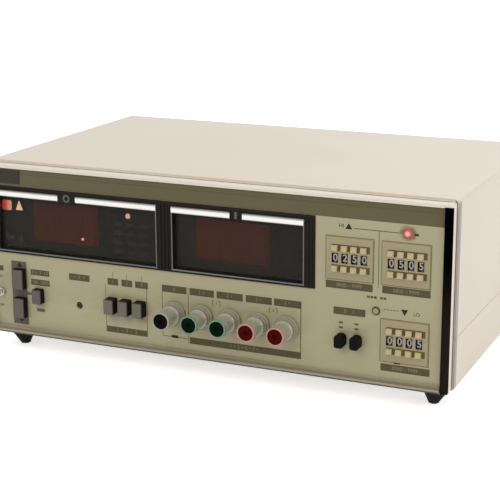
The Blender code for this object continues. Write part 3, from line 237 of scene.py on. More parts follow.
def spot(tree, centre, inner, outer):
    """1 close to a point of the front face, falling smoothly to 0 at the outer radius."""
    flat = put(tree, "ShaderNodeVectorMath", {0: own_place(tree), 1: (1, 0, 1)}, operation="MULTIPLY")
    away = put(tree, "ShaderNodeVectorMath", {0: flat.outputs[0], 1: (centre.x, 0, centre.z)},
               operation="DISTANCE").outputs["Value"]
    return grade(tree, away, inner * MM, outer * MM, 1.0, 0.0, "SMOOTHSTEP")


def lightened(tree, colour, change):
    """A colour made lighter or darker by a share of itself."""
    lift = maths(tree, "ADD", change, 1.0)
    grey = put(tree, "ShaderNodeCombineColor", {"Red": lift, "Green": lift, "Blue": lift})
    return blend(tree, 1.0, colour, grey.outputs[0], "MULTIPLY")


# Groups that several finishes share


def new_group(name, inputs, outputs):
    """A node group with its named sockets: Colour is a colour, and the others are numbers."""
    group = bpy.data.node_groups.new(name, "ShaderNodeTree")
    for way, sockets in (("INPUT", inputs), ("OUTPUT", outputs)):
        for socket in sockets:
            kind = "NodeSocketColor" if socket == "Colour" else "NodeSocketFloat"
            group.interface.new_socket(socket, in_out=way, socket_type=kind)
    return group, put(group, "NodeGroupInput").outputs


def close_group(group, **results):
    """Wires the results to the group's own outputs."""
    put(group, "NodeGroupOutput", results)
    return group


def make_surface_group():
    """Colour patches, a fine grain and the uneven gloss of a moulded or painted surface."""
    group, given = new_group(
        "surface_grain", ("Colour", "Spread", "Patch Scale", "Grain Scale", "Gloss Spread", "Roughness"),
        ("Colour", "Roughness", "Height"))
    grain = noise(group, given["Grain Scale"], 2.0)
    even = maths(group, "SUBTRACT", noise(group, given["Patch Scale"], 4.0, 0.6), 0.5)
    fine = maths(group, "SUBTRACT", grain, 0.5)
    both = maths(group, "ADD", even, times(group, fine, 0.5))
    tinted = lightened(group, given["Colour"], times(group, both, given["Spread"]))
    gloss = times(group, even, given["Gloss Spread"])
    return close_group(group, Colour=tinted, Roughness=maths(group, "ADD", gloss, given["Roughness"]),
                       Height=grain)


def make_dust_group():
    """A thin film of dust where a surface faces up, broken into patches."""
    group, given = new_group("resting_dust", ("Amount", "Patch Scale"), ("Mask",))
    facing = put(group, "ShaderNodeSeparateXYZ", {
        "Vector": put(group, "ShaderNodeNewGeometry").outputs["Normal"]})
    upward = maths(group, "MAXIMUM", facing.outputs["Z"], 0.0)
    share = grade(group, noise(group, given["Patch Scale"], 5.0, 0.65), 0.35, 0.75)
    film = times(group, times(group, upward, share), given["Amount"])
    return close_group(group, Mask=film)


def make_scuff_group():
    """Short faint scratches in two directions."""
    group, given = new_group("faint_scuffs", ("Scale", "Amount"), ("Mask",))
    strokes = []
    for turn, stretch in ((0.5, (14.0, 1.0, 1.0)), (-0.8, (1.0, 1.0, 16.0))):
        lines = noise(group, given["Scale"], 3.0, stretch=stretch, turn=(0.2, turn, turn))
        strokes.append(grade(group, lines, 0.68, 0.78))
    both = maths(group, "MAXIMUM", *strokes)
    return close_group(group, Mask=times(group, both, given["Amount"]))


def make_brushed_group():
    """Fine parallel lines along X, as an abrasive belt leaves them on metal."""
    group, given = new_group(
        "brushed_lines", ("Colour", "Spread", "Roughness"), ("Colour", "Roughness", "Height"))
    lines = noise(group, 1.0, 3.0, stretch=(12.0, 1800.0, 1800.0))
    even = maths(group, "SUBTRACT", lines, 0.5)
    tinted = lightened(group, given["Colour"], times(group, even, given["Spread"]))
    gloss = times(group, even, 0.3)
    return close_group(group, Colour=tinted, Roughness=maths(group, "ADD", gloss, given["Roughness"]),
                       Height=lines)


SURFACE = make_surface_group()
DUST = make_dust_group()
SCUFFS = make_scuff_group()
BRUSHED = make_brushed_group()
DUST_COLOUR = swatch(196, 190, 176)
FINISHES = {}


# Kinds of finish


def new_finish(name, specular=0.5, metallic=0.0):
    """An empty material, its nodes and its shader."""
    finish = bpy.data.materials.new(name)
    finish.use_nodes = True
    shader = finish.node_tree.nodes["Principled BSDF"]
    shader.inputs["Specular IOR Level"].default_value = specular
    shader.inputs["Metallic"].default_value = metallic
    FINISHES[name] = finish
    return finish, finish.node_tree, shader


def wire_shader(tree, shader, colour, surface, depth):
    """Feeds a colour, and a surface's roughness and height as a bump of a depth, to the shader."""
    tree.links.new(colour, shader.inputs["Base Color"])
    tree.links.new(surface["Roughness"], shader.inputs["Roughness"])
    bump = put(tree, "ShaderNodeBump", {"Height": surface["Height"], "Strength": 1.0, "Distance": depth})
    tree.links.new(bump.outputs[0], shader.inputs["Normal"])


def painted(name, colour, roughness, spread, patch, grain, depth,
            specular=0.5, metallic=0.0, dust=0.0, scuffs=0.0, zones=None, opacity=None):
    """A painted, moulded or plated finish, with patches and a grain whose depth is in microns.

    Zones change the colour by place, and opacity lets light through, by functions of the nodes.
    """
    finish, tree, shader = new_finish(name, specular, metallic)
    colour = swatch(*colour)
    surface = put(tree, "ShaderNodeGroup", {
        "Colour": zones(tree, colour) if zones else colour, "Spread": spread, "Patch Scale": patch,
        "Grain Scale": grain, "Gloss Spread": 0.25, "Roughness": roughness}, node_tree=SURFACE).outputs
    shown = surface["Colour"]
    if scuffs:
        marks = put(tree, "ShaderNodeGroup", {"Scale": 60.0, "Amount": scuffs}, node_tree=SCUFFS)
        shown = blend(tree, marks.outputs["Mask"], shown, DUST_COLOUR)
    if dust:
        film = put(tree, "ShaderNodeGroup", {"Amount": dust, "Patch Scale": 18.0}, node_tree=DUST)
        shown = blend(tree, film.outputs["Mask"], shown, DUST_COLOUR)
    if opacity:
        tree.links.new(opacity(tree), shader.inputs["Alpha"])
    wire_shader(tree, shader, shown, surface, depth * MICRON)
    return finish


def brushed(name, colour, roughness, spread, zones=None):
    """A belt-brushed metal."""
    _, tree, shader = new_finish(name, metallic=1.0)
    colour = swatch(*colour)
    surface = put(tree, "ShaderNodeGroup", {
        "Colour": zones(tree, colour) if zones else colour, "Spread": spread, "Roughness": roughness},
        node_tree=BRUSHED).outputs
    wire_shader(tree, shader, surface["Colour"], surface, 10 * MICRON)


def glowing(name, colour, strength, glow):
    """A lit lamp, whose light has one colour, or zones from a function of the nodes."""
    tree = painted(name, colour, 0.35, 0.2, 300, 2500, 20).node_tree
    shader = tree.nodes["Principled BSDF"]
    if callable(glow):
        tree.links.new(glow(tree), shader.inputs["Emission Color"])
    else:
        shader.inputs["Emission Color"].default_value = swatch(*glow)
    shader.inputs["Emission Strength"].default_value = strength


# Zones within a finish

HEADER_COLOUR = swatch(83, 75, 41)
HEADER_LINE_COLOUR = swatch(72, 63, 34)
RAIL_TOP_COLOUR = swatch(140, 132, 102)
RAIL_COLOUR = swatch(108, 100, 72)
RAIL_BRIGHT_COLOUR = swatch(158, 150, 126)
# The colour of the painted shade along the lower edge of the rail
RAIL_EDGE_SHADE = swatch(64, 59, 46)
# The colour of the painted shade in the groove behind the bezel
GROOVE_SHADE = swatch(170, 160, 148)
# The colour of the painted sheen on the side strips
STRIP_SHEEN = swatch(34, 30, 25)
# The colour of the painted shade on the front edge of the covers
COVER_EDGE_SHADE = swatch(160, 151, 148)
# The colour of the painted shade at the edges of a window bar
BAR_EDGE_SHADE = swatch(90, 89, 85)
FILTER_COLOUR = swatch(168, 34, 10)
DIGIT_CAST = swatch(62, 42, 30)


def strip_zones(tree, colour):
    """A faint painted sheen, growing towards the lower half of a side strip."""
    start, end = STRIP_SHEEN_HEIGHTS
    return blend(tree, ramp(tree, axes_of(tree)["Z"], up(start), up(end)), colour, STRIP_SHEEN)


def cover_zones(tree, colour):
    """Painted shade on the front edge of a cover, down the sides of the case."""
    place = axes_of(tree)
    front = ramp(tree, place["Y"], *[COVER_FRONT + depth * MM for depth in EDGE_DEPTH])
    across = maths(tree, "ABSOLUTE", place["X"])
    side = maths(tree, "GREATER_THAN", across, CASE_HIGH.x + EDGE_OUTSIDE * MM)
    low = ramp(tree, place["Z"], *[CASE_HIGH.z + rise * MM for rise in EDGE_ABOVE])
    share = times(tree, front, times(tree, side, low))
    return blend(tree, share, colour, COVER_EDGE_SHADE)


def bar_zones(tree, colour):
    """Painted shade on the bright bar of a window frame, darkening towards its upper and lower edges."""
    away = maths(tree, "ABSOLUTE", maths(tree, "SUBTRACT", axes_of(tree)["Z"], up(BAR_MIDDLE)))
    start, end = BAR_FADE
    return blend(tree, ramp(tree, away, start * MM, end * MM), colour, BAR_EDGE_SHADE)


def panel_zones(tree, colour):
    """The dark header band across the top of the front panel, with a darker line in it."""
    height = axes_of(tree)["Z"]
    above = maths(tree, "GREATER_THAN", height, up(HEADER_BOTTOM))
    banded = blend(tree, above, colour, HEADER_COLOUR)
    line = within(tree, height, *map(up, HEADER_LINE))
    return blend(tree, line, banded, HEADER_LINE_COLOUR)


def bezel_zones(tree, colour):
    """Olive, bright and dark bands along the lower rail, the dark one painted shade at its lower edge, and
    painted shade in the groove behind the bezel.
    """
    place = axes_of(tree)
    low = maths(tree, "LESS_THAN", place["Z"], up(RAIL_TOP))
    front = maths(tree, "LESS_THAN", place["Y"], BEZEL_FACE + RAIL_DEPTH * MM)
    bright = within(tree, place["Z"], *map(up, RAIL_BRIGHT))
    bottom = maths(tree, "LESS_THAN", place["Z"], up(RAIL_BRIGHT[0]))
    depth = ramp(tree, place["Z"], up(RAIL_TOP), up(RAIL_DARKEST))
    rail = blend(tree, depth, RAIL_TOP_COLOUR, RAIL_COLOUR)
    rail = blend(tree, bright, rail, RAIL_BRIGHT_COLOUR)
    # The dark band is painted shade along the rail's lower edge
    rail = blend(tree, bottom, rail, RAIL_EDGE_SHADE)
    railed = blend(tree, times(tree, low, front), colour, rail)
    # Painted shade in the groove behind the bezel
    groove = maths(tree, "GREATER_THAN", place["Y"], BEZEL_FACE + GROOVE_DEPTH * MM)
    return blend(tree, groove, railed, GROOVE_SHADE)


def board_zones(tree, colour):
    """Dark red filters on the front of the display board and its digit modules."""
    front = maths(tree, "LESS_THAN", axes_of(tree)["Y"], BOARD_FACE + 0.4 * MM)
    return blend(tree, front, colour, FILTER_COLOUR)


def lens_zones(tree, colour):
    """A soft red-brown cast on a smoked lens in front of its digits."""
    place = axes_of(tree)
    outside, inside = (fade * MM for fade in CAST_FADE)

    def between(value, low, high):
        return times(tree, ramp(tree, value, low - outside, low + inside),
                     ramp(tree, value, high + outside, high - inside))

    level = between(place["Z"], *map(up, CAST_HEIGHTS))
    for left, right in DIGIT_AREAS.values():
        across = between(place["X"], left * MM, right * MM)
        colour = blend(tree, times(tree, across, level), colour, DIGIT_CAST)
    return colour


def lens_haze(tree):
    """Smoked acrylic lets through a little more light in some places than in others."""
    return grade(tree, noise(tree, 22.0, 4.0), 0.0, 1.0, 0.50, 0.60)


def window_light(tree):
    """The lit window pales to its right."""
    start, end = WINDOW_PALE
    right = ramp(tree, axes_of(tree)["X"], start * MM, end * MM)
    return blend(tree, right, swatch(214, 62, 48), swatch(255, 176, 140))


def limit_light(tree):
    """The lit lamp of the panel pales in its middle."""
    middle = spot(tree, LIMIT_LAMP, *LAMP_PALE)
    return blend(tree, middle, swatch(196, 104, 92), swatch(255, 226, 214))


def glow_fade(tree):
    """The painted glow round the lit lamp fades outwards."""
    return times(tree, spot(tree, LIMIT_LAMP, *GLOW_RADII), 0.6)


# The finishes: colour, roughness, spread and scale of the patches, scale and depth of the grain

painted("cream_enamel", (217, 205, 190), 0.5, 0.05, 12, 1800, 30, dust=0.12, scuffs=0.05, zones=cover_zones)
painted("bezel_enamel", (222, 212, 197), 0.42, 0.05, 15, 1600, 20, dust=0.1, zones=bezel_zones)
painted("panel_enamel", (168, 160, 127), 0.5, 0.09, 26, 2200, 20, scuffs=0.06, zones=panel_zones)
painted("rear_enamel", (178, 172, 152), 0.5, 0.08, 20, 1600, 20, dust=0.3, scuffs=0.08)
painted("strip_black", (5, 4, 5), 0.6, 0.3, 60, 2600, 30, specular=0.0, zones=strip_zones)
painted("seal_cream", (206, 195, 179), 0.6, 0.08, 40, 1800, 20)
painted("moulded_black", (31, 26, 24), 0.6, 0.3, 60, 3000, 40, specular=0.1, dust=0.06)
painted("key_black", (10, 8, 8), 0.55, 0.3, 120, 3000, 20, specular=0.15)
painted("switch_black", (7, 5, 4), 0.5, 0.3, 120, 3000, 10, specular=0.08)
painted("key_grey", (105, 98, 88), 0.5, 0.14, 120, 3500, 20, specular=0.3)
painted("range_grey", (94, 86, 79), 0.5, 0.14, 120, 3500, 20, specular=0.3)
painted("rubber", (24, 24, 20), 0.75, 0.35, 90, 1500, 60, specular=0.15, dust=0.2)
painted("board_green", (32, 70, 44), 0.5, 0.3, 160, 1200, 30)
painted("display_backing", (16, 17, 14), 0.6, 0.3, 120, 1800, 20, specular=0.1, zones=board_zones)
painted("core_steel", (110, 106, 98), 0.5, 0.3, 80, 900, 40, metallic=0.7)
painted("plated", (205, 200, 188), 0.28, 0.12, 200, 2500, 6, metallic=1.0)
painted("post_body", (168, 165, 148), 0.3, 0.14, 110, 2200, 10, metallic=0.25)
painted("post_insulator", (144, 140, 116), 0.38, 0.14, 110, 2200, 10)
painted("bank_tan", (160, 149, 118), 0.5, 0.14, 90, 2600, 20, specular=0.3)
# The dark slot about a pusher, partly painted shadow
painted("bank_slot_and_shadow", (98, 82, 48), 0.6, 0.2, 150, 3000, 10, specular=0.2)
painted("pusher_cream", (184, 169, 127), 0.45, 0.16, 180, 3000, 20)
painted("wheel_black", (14, 13, 15), 0.5, 0.25, 180, 3000, 10, specular=0.15)
painted("number_white", (172, 166, 164), 0.5, 0.08, 200, 3000, 5)
painted("print_olive", (82, 74, 50), 0.6, 0.14, 150, 3500, 8, specular=0.25)
painted("print_field", (94, 86, 72), 0.6, 0.14, 150, 3500, 8, specular=0.25)
painted("print_line", (122, 111, 78), 0.6, 0.14, 150, 3500, 8, specular=0.25)
painted("print_dark", (42, 36, 20), 0.6, 0.16, 150, 3500, 8, specular=0.2)
painted("print_number", (134, 125, 94), 0.6, 0.1, 150, 3500, 5)
painted("rim_pale", (176, 168, 138), 0.5, 0.1, 150, 3500, 5)
painted("badge_black", (34, 33, 18), 0.4, 0.3, 120, 2500, 10, specular=0.3)
painted("legend_grey", (150, 146, 142), 0.6, 0.2, 150, 3000, 5)
painted("legend_dim", (88, 78, 72), 0.6, 0.2, 150, 3000, 5)
painted("segment_red", (152, 52, 36), 0.5, 0.2, 150, 3000, 5)
painted("brass", (56, 46, 16), 0.45, 0.2, 300, 2500, 10, metallic=0.6)
painted("smoked_acrylic", (43, 41, 34), 0.16, 0.2, 25, 700, 2, specular=0.16, zones=lens_zones,
        opacity=lens_haze)
painted("lamp_clear", (150, 142, 108), 0.3, 0.1, 200, 2500, 5, specular=0.3)
painted("lamp_ring", (58, 54, 38), 0.4, 0.2, 200, 2500, 5)
# The lit lamp's collar, painted pink with the lamp's glow
painted("collar_lamp_glow", (176, 118, 100), 0.5, 0.2, 200, 2500, 5)
# A painted glow of the lit lamp on the panel round it
painted("lamp_glow", (206, 128, 112), 0.6, 0.1, 200, 2500, 5, specular=0.1, opacity=glow_fade)
for name, colour in {"black": (9, 6, 8), "green": (1, 17, 5), "red": (66, 5, 4)}.items():
    painted("socket_core_" + name, colour, 0.6, 0.3, 200, 2500, 10, specular=0.04)
for name, colour in {"black": (158, 153, 136), "green": (98, 136, 110), "red": (190, 130, 114)}.items():
    painted("socket_rim_" + name, colour, 0.25, 0.15, 200, 2500, 10)
brushed("bright_bar", (214, 213, 207), 0.32, 0.12, zones=bar_zones)
brushed("frame_satin", (98, 95, 93), 0.38, 0.25)
glowing("lamp_window", (200, 60, 40), 2.6, window_light)
glowing("lamp_arrow", (230, 160, 120), 3.2, (255, 206, 172))
glowing("lamp_dot", (220, 140, 120), 3.0, (255, 190, 165))
# A dimly glowing plate, a painted glow round the larger lit dot
glowing("lamp_halo", (70, 14, 8), 0.5, (120, 20, 12))
glowing("lamp_limit", (190, 112, 100), 0.35, limit_light)


# Ways of working


def solo(piece):
    """Leaves only this piece selected, and makes it the active one."""
    bpy.ops.object.select_all(action="DESELECT")
    piece.select_set(True)
    bpy.context.view_layer.objects.active = piece


def settle(name):
    """Names the new primitive, and moves its place and size into its mesh."""
    piece = bpy.context.object
    piece.name = name
    piece.data.name = name
    bpy.ops.object.transform_apply(location=True, rotation=True, scale=True)
    return piece


def open_mesh(piece):
    """Starts work on the faces and edges of a piece, with none selected."""
    solo(piece)
    bpy.ops.object.mode_set(mode="EDIT")
    bpy.ops.mesh.select_all(action="DESELECT")


def close_mesh():
    """Ends work on the faces and edges."""
    bpy.ops.object.mode_set(mode="OBJECT")


def pick_all():
    """Selects all of the open mesh."""
    bpy.ops.mesh.select_all(action="SELECT")


def pick(piece, kind, test):
    """Selects the vertices, edges or faces that pass a test, and no others."""
    bpy.ops.mesh.select_mode(type=kind)
    bpy.ops.mesh.select_all(action="DESELECT")
    mesh = bmesh.from_edit_mesh(piece.data)
    for part in {"VERT": mesh.verts, "EDGE": mesh.edges, "FACE": mesh.faces}[kind]:
        if test(part):
            part.select_set(True)
    bmesh.update_edit_mesh(piece.data)


def looks_forward(face):
    """Whether a face looks to the front."""
    return face.normal.y < -0.99


def runs_along(edge, axis):
    """Whether an edge runs along an axis, given as 0, 1 or 2."""
    line = edge.verts[1].co - edge.verts[0].co
    return abs(line[axis]) > 0.999 * line.length


def round_corners(piece, radius, segments=5, level=None):
    """Rounds the edges that run from front to back, all of them or those near one height."""
    pick(piece, "EDGE", lambda edge: runs_along(edge, 1)
         and (level is None or abs(edge.verts[0].co.z - level) < MM))
    bpy.ops.mesh.bevel(offset=radius, segments=segments, affect="EDGES")


def turn_outwards():
    """Points the faces of the open mesh outwards."""
    pick_all()
    bpy.ops.mesh.normals_make_consistent(inside=False)


def apply_all(piece):
    """Applies the piece's modifiers in order."""
    solo(piece)
    for modifier in list(piece.modifiers):
        bpy.ops.object.modifier_apply(modifier=modifier.name)


def give_wall(piece, thickness, even=False):
    """Gives a sheet its thickness, which is the same round a bend if it is even."""
    wall = piece.modifiers.new("wall", "SOLIDIFY")
    wall.thickness = thickness
    wall.use_even_offset = even
    apply_all(piece)


def carve(piece, cutter):
    """Cuts one piece out of another with a Boolean, and removes the cutter."""
    cut = piece.modifiers.new("cut", "BOOLEAN")
    cut.operation = "DIFFERENCE"
    cut.solver = "EXACT"
    cut.object = cutter
    apply_all(piece)
    bpy.data.objects.remove(cutter)


def smooth(piece, angle):
    """Smooths the shading over edges flatter than an angle."""
    solo(piece)
    bpy.ops.object.shade_smooth_by_angle(angle=math.radians(angle))


def soften(piece, width, segments, angle):
    """Rounds the piece's sharp edges and smooths its shading."""
    rounding = piece.modifiers.new("rounding", "BEVEL")
    rounding.width = width
    rounding.segments = segments
    rounding.limit_method = "ANGLE"
    rounding.angle_limit = math.radians(angle)
    apply_all(piece)
    smooth(piece, angle)


def block(name, low, high):
    """A block between two corners, in metres."""
    low, high = Vector(low), Vector(high)
    bpy.ops.mesh.primitive_cube_add(size=1, location=(low + high) / 2, scale=high - low)
    return settle(name)


def turned(name, outline, centre, steps=48, angle=None, forward=(0, -1, 0)):
    """Spins an outline of radius and reach about an axis, and smooths it over edges below an angle."""
    way = Vector(forward)
    points = [Vector(centre) + Vector((radius, 0, 0)) * MM + way * reach * MM for radius, reach in outline]
    bpy.ops.mesh.primitive_plane_add(size=MM, location=points[0])
    piece = settle(name)
    open_mesh(piece)
    bpy.ops.mesh.select_mode(type="VERT")
    pick_all()
    bpy.ops.mesh.merge(type="CENTER")
    for start, end in zip(points, points[1:]):
        bpy.ops.mesh.extrude_vertices_move(TRANSFORM_OT_translate={"value": end - start})
    pick_all()
    bpy.ops.mesh.spin(steps=steps, angle=2 * math.pi, center=Vector(centre), axis=way)
    pick_all()
    bpy.ops.mesh.remove_doubles(threshold=0.000001)
    turn_outwards()
    close_mesh()
    if angle:
        smooth(piece, angle)
    return piece


def dome(radius, base, rise, step):
    """The outline of a dome, from its rim to its top."""
    angles = [math.radians(degrees) for degrees in range(0, 90, step)]
    return [(radius * math.cos(a), base + rise * math.sin(a)) for a in angles] + [(0, base + rise)]


def plates(name, places, thickness=PRINT_THICKNESS, face=PANEL_FACE):
    """Thin flat plates on a face that looks forward: left, right, bottom and top of each."""
    bpy.ops.mesh.primitive_plane_add(size=MM, location=(0, face, 0))
    piece = settle(name)
    open_mesh(piece)
    pick_all()
    bpy.ops.mesh.delete(type="VERT")
    for left, right, bottom, top in places:
        centre = ((left + right) / 2 * MM, face - thickness, up((bottom + top) / 2))
        bpy.ops.mesh.primitive_plane_add(size=MM, location=centre, rotation=(math.pi / 2, 0, 0))
        bpy.ops.transform.resize(value=(right - left, 1, top - bottom), center_override=centre)
    close_mesh()
    give_wall(piece, thickness + PRINT_SINK)
    return piece


def joined(name, pieces):
    """One piece from several."""
    bpy.ops.object.select_all(action="DESELECT")
    for piece in pieces:
        piece.select_set(True)
    bpy.context.view_layer.objects.active = pieces[0]
    bpy.ops.object.join()
    pieces[0].name = name
    pieces[0].data.name = name
    return pieces[0]


def copy_of(piece, name, shift, turn=0.0):
    """A copy with its own mesh, turned about X and then moved."""
    solo(piece)
    bpy.ops.object.duplicate()
    twin = bpy.context.object
    twin.rotation_euler = (turn, 0, 0)
    twin.location = shift
    return settle(name)


def characters(words, x, height, size, face=PANEL_FACE, depth=PRINT_THICKNESS, weight=0.0):
    """Flat characters on a face that looks forward, centred on a place."""
    bpy.ops.object.text_add()
    text = bpy.context.object
    text.data.body = words
    text.data.size = size * MM
    text.data.offset = weight * MM
    text.data.extrude = depth / 2
    text.data.resolution_u = 4
    text.data.align_x = "CENTER"
    text.data.align_y = "CENTER"
    bpy.ops.object.convert(target="MESH")
    text = bpy.context.object
    text.rotation_euler = (math.pi / 2, 0, 0)
    text.location = (x * MM, face - depth / 2, up(height))
    return settle("characters")


def coat(piece, finish):
    """Gives a piece one finish."""
    piece.data.materials.clear()
    piece.data.materials.append(FINISHES[finish])


def coat_faces(piece, finish, test):
    """Gives the faces that pass a test a second finish."""
    piece.data.materials.append(FINISHES[finish])
    open_mesh(piece)
    pick(piece, "FACE", test)
    piece.active_material_index = 1
    bpy.ops.object.material_slot_assign()
    close_mesh()


def dress(piece, finish, body=CHASSIS, nodes=()):
    """Gives a finished piece its finish and body, and hides the nodes that it stands for."""
    if finish:
        coat(piece, finish)
    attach(piece, body)
    if nodes:
        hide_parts(*nodes)
    return piece


def refined(node, finish, width, angle=40.0, segments=2):
    """A copy of a CAD node with rounded edges and smooth curves, which stands for it."""
    source = frame["nodes"][node]
    piece = bpy.data.objects.new(node + "_finished", source.data.copy())
    bpy.context.collection.objects.link(piece)
    open_mesh(piece)
    pick_all()
    bpy.ops.mesh.remove_doubles(threshold=0.00001)
    bpy.ops.mesh.tris_convert_to_quads(face_threshold=math.radians(1), shape_threshold=math.radians(180))
    close_mesh()
    if width:
        soften(piece, width * MM, segments, angle)
    else:
        smooth(piece, angle)
    return dress(piece, finish, source["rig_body"], [node])


# Camera, floor and light

CAMERA_LENS = 98.19
CAMERA_SHIFT = (-0.0283, -0.0212)
CAMERA_PLACE = (0.4749, -1.08925, 0.3987)
CAMERA_TURN = (90 - 14.42, 0.11, 23.37)
LIGHTS_AIM = Vector((0, 0, 0.08))

# Name, place, size and power of each lamp of the studio
LIGHTS = (
    ("key_light", (-0.55, -1.65, 1.6), 1.6, 13.2),
    ("side_light", (1.9, -0.3, 1.0), 1.4, 11.0),
    ("back_light", (0.2, 1.6, 1.5), 1.6, 6.0),
)


def background_rays(tree):
    """1 for the rays that see a white background: straight, by gloss or through glass."""
    rays = put(tree, "ShaderNodeLightPath").outputs
    return maths(tree, "MAXIMUM", maths(tree, "MAXIMUM", rays["Is Camera Ray"], rays["Is Glossy Ray"]),
                 rays["Is Transmission Ray"])


def set_up_camera():
    """The camera of the photograph."""
    data = bpy.data.cameras.new("camera")
    data.lens = CAMERA_LENS
    data.sensor_width = 36.0
    data.shift_x, data.shift_y = CAMERA_SHIFT
    camera = bpy.data.objects.new("camera", data)
    camera.location = CAMERA_PLACE
    camera.rotation_euler = [math.radians(degrees) for degrees in CAMERA_TURN]
    bpy.context.scene.collection.objects.link(camera)
    bpy.context.scene.camera = camera


def make_floor():
    """A white floor that turns up behind the case, and keeps its shadow."""
    bpy.ops.mesh.primitive_plane_add(size=8.0, location=(0, 0, 0))
    floor = settle("floor")
    open_mesh(floor)
    pick(floor, "EDGE", lambda edge: min(vertex.co.y for vertex in edge.verts) > 3.9)
    bpy.ops.mesh.extrude_region_move(TRANSFORM_OT_translate={"value": (0, 0, 2.5)})
    close_mesh()
    finish, tree, shader = new_finish("floor_paper", 0.2)
    paper = blend(tree, noise(tree, 300.0, 3.0), (0.84, 0.84, 0.84, 1), (0.88, 0.88, 0.88, 1))
    tree.links.new(paper, shader.inputs["Base Color"])
    shader.inputs["Roughness"].default_value = 0.8
    lift = put(tree, "ShaderNodeEmission", {
        "Color": (1, 1, 1, 1), "Strength": times(tree, background_rays(tree), 0.6)})
    both = put(tree, "ShaderNodeAddShader", {0: shader.outputs[0], 1: lift.outputs[0]})
    tree.links.new(both.outputs[0], tree.nodes["Material Output"].inputs["Surface"])
    floor.data.materials.append(finish)


def set_up_lights():
    """Plain soft light: a sky that is brighter above, and three wide lamps."""
    world = bpy.data.worlds.new("studio")
    bpy.context.scene.world = world
    world.use_nodes = True
    tree = world.node_tree
    background = tree.nodes["Background"]
    direction = put(tree, "ShaderNodeSeparateXYZ", {
        "Vector": put(tree, "ShaderNodeTexCoord").outputs["Generated"]})
    level = grade(tree, direction.outputs["Z"], -0.2, 1.0, 0.45, 0.8)
    strength = put(tree, "ShaderNodeMix", {"Factor": background_rays(tree), 2: level, 3: 1.0},
                   data_type="FLOAT")
    tree.links.new(strength.outputs[0], background.inputs["Strength"])
    background.inputs["Color"].default_value = (1, 1, 1, 1)
    for name, place, size, power in LIGHTS:
        data = bpy.data.lights.new(name, "AREA")
        data.size = size
        data.energy = power
        lamp = bpy.data.objects.new(name, data)
        lamp.location = place
        lamp.rotation_euler = (LIGHTS_AIM - Vector(place)).to_track_quat("-Z", "Y").to_euler()
        bpy.context.scene.collection.objects.link(lamp)
    bpy.context.scene.view_settings.view_transform = "Standard"


# Case

COVER_SHEET = 1.5

# The seal lies within the bezel's outline, but rises into the slot under the top cover
SEAL_INSET = 0.35
SEAL_DEPTHS = (9.4, 12.6)
SEAL_RISE = 0.7
SEAL_SHEET = 0.5


def make_cover(node, side, bend):
    """A folded sheet: a block open to the front, the rear and the other cover, with two round bends."""
    low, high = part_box(node)
    piece = block(node + "_sheet", low, high)
    open_mesh(piece)
    pick(piece, "FACE", lambda face: abs(face.normal.y) > 0.99 or face.normal.z * side < -0.99)
    bpy.ops.mesh.delete(type="FACE")
    round_corners(piece, bend * MM, 10, high.z if side > 0 else low.z)
    turn_outwards()
    close_mesh()
    give_wall(piece, COVER_SHEET * MM, even=True)
    soften(piece, 0.3 * MM, 3, 50.0)
    dress(piece, "cream_enamel", nodes=[node])


def make_groove_seal():
    """A thin seal that fills the groove between the bezel and the covers."""
    inset = SEAL_INSET * MM
    front, back = (BEZEL_FACE + depth * MM for depth in SEAL_DEPTHS)
    piece = block("groove_seal", (CASE_LOW.x + inset, front, CASE_LOW.z + inset),
                  (CASE_HIGH.x - inset, back, CASE_HIGH.z + SEAL_RISE * MM))
    open_mesh(piece)
    pick(piece, "FACE", lambda face: abs(face.normal.y) > 0.9)
    bpy.ops.mesh.delete(type="FACE")
    for level, radius in ((CASE_HIGH.z, 3.6), (CASE_LOW.z, 2.0)):
        round_corners(piece, radius * MM, 8, level)
    turn_outwards()
    close_mesh()
    give_wall(piece, SEAL_SHEET * MM, even=True)
    smooth(piece, 40.0)
    dress(piece, "seal_cream")


def make_foot(node):
    """A turned rubber foot whose pad lies nearer the middle of the case, with a screw up its hole."""
    low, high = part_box(node)
    centre = Vector(((low.x + high.x) / 2, (low.y + high.y) / 2, 0))
    pad_shift = Vector((-math.copysign(FOOT_PAD_SHIFT, centre.x), 0, 0)) * MM
    top = high.z / MM
    foot = turned(node + "_rubber", [
        (0, 8.0), (2.2, 8.0), (2.2, 0.5), (2.6, 0.1), (3.8, 0), (4.3, 0.3), (4.6, 1.0),
        (11.7, 13.4), (11.95, 13.9), (12.0, 14.4), (12.0, top - 0.5), (11.6, top), (0, top)],
        centre, 56, forward=(0, 0, 1))
    open_mesh(foot)
    pick(foot, "VERT", lambda vertex: vertex.co.z < 9 * MM and (vertex.co - centre).xy.length < 5 * MM)
    bpy.ops.transform.translate(value=pad_shift)
    close_mesh()
    smooth(foot, 35.0)
    dress(foot, "rubber", nodes=[node])
    pad = centre + pad_shift
    screw = turned(node + "_screw", [(0, 6.2), (1.4, 6.3), (1.8, 6.7), (1.9, 7.5), (1.9, 8.05), (0, 8.05)],
                   pad, 32, forward=(0, 0, 1))
    carve(screw, block("cutter", pad + Vector((-2.5, -0.35, 5.0)) * MM, pad + Vector((2.5, 0.35, 7.0)) * MM))
    smooth(screw, 35.0)
    dress(screw, "plated")


def make_case():
    """The covers, the bezel with its seal and side strips, and the feet."""
    make_cover("top_cover", 1, 4.0)
    make_cover("bottom_cover", -1, 2.0)
    refined("front_bezel", "bezel_enamel", 0.4, 32.0, 3)
    make_groove_seal()
    for side in ("left", "right"):
        refined("side_strip_" + side, "strip_black", 0.4)
    for place in ("front_left", "front_right", "rear_left", "rear_right"):
        make_foot("foot_" + place)


# Front panel print

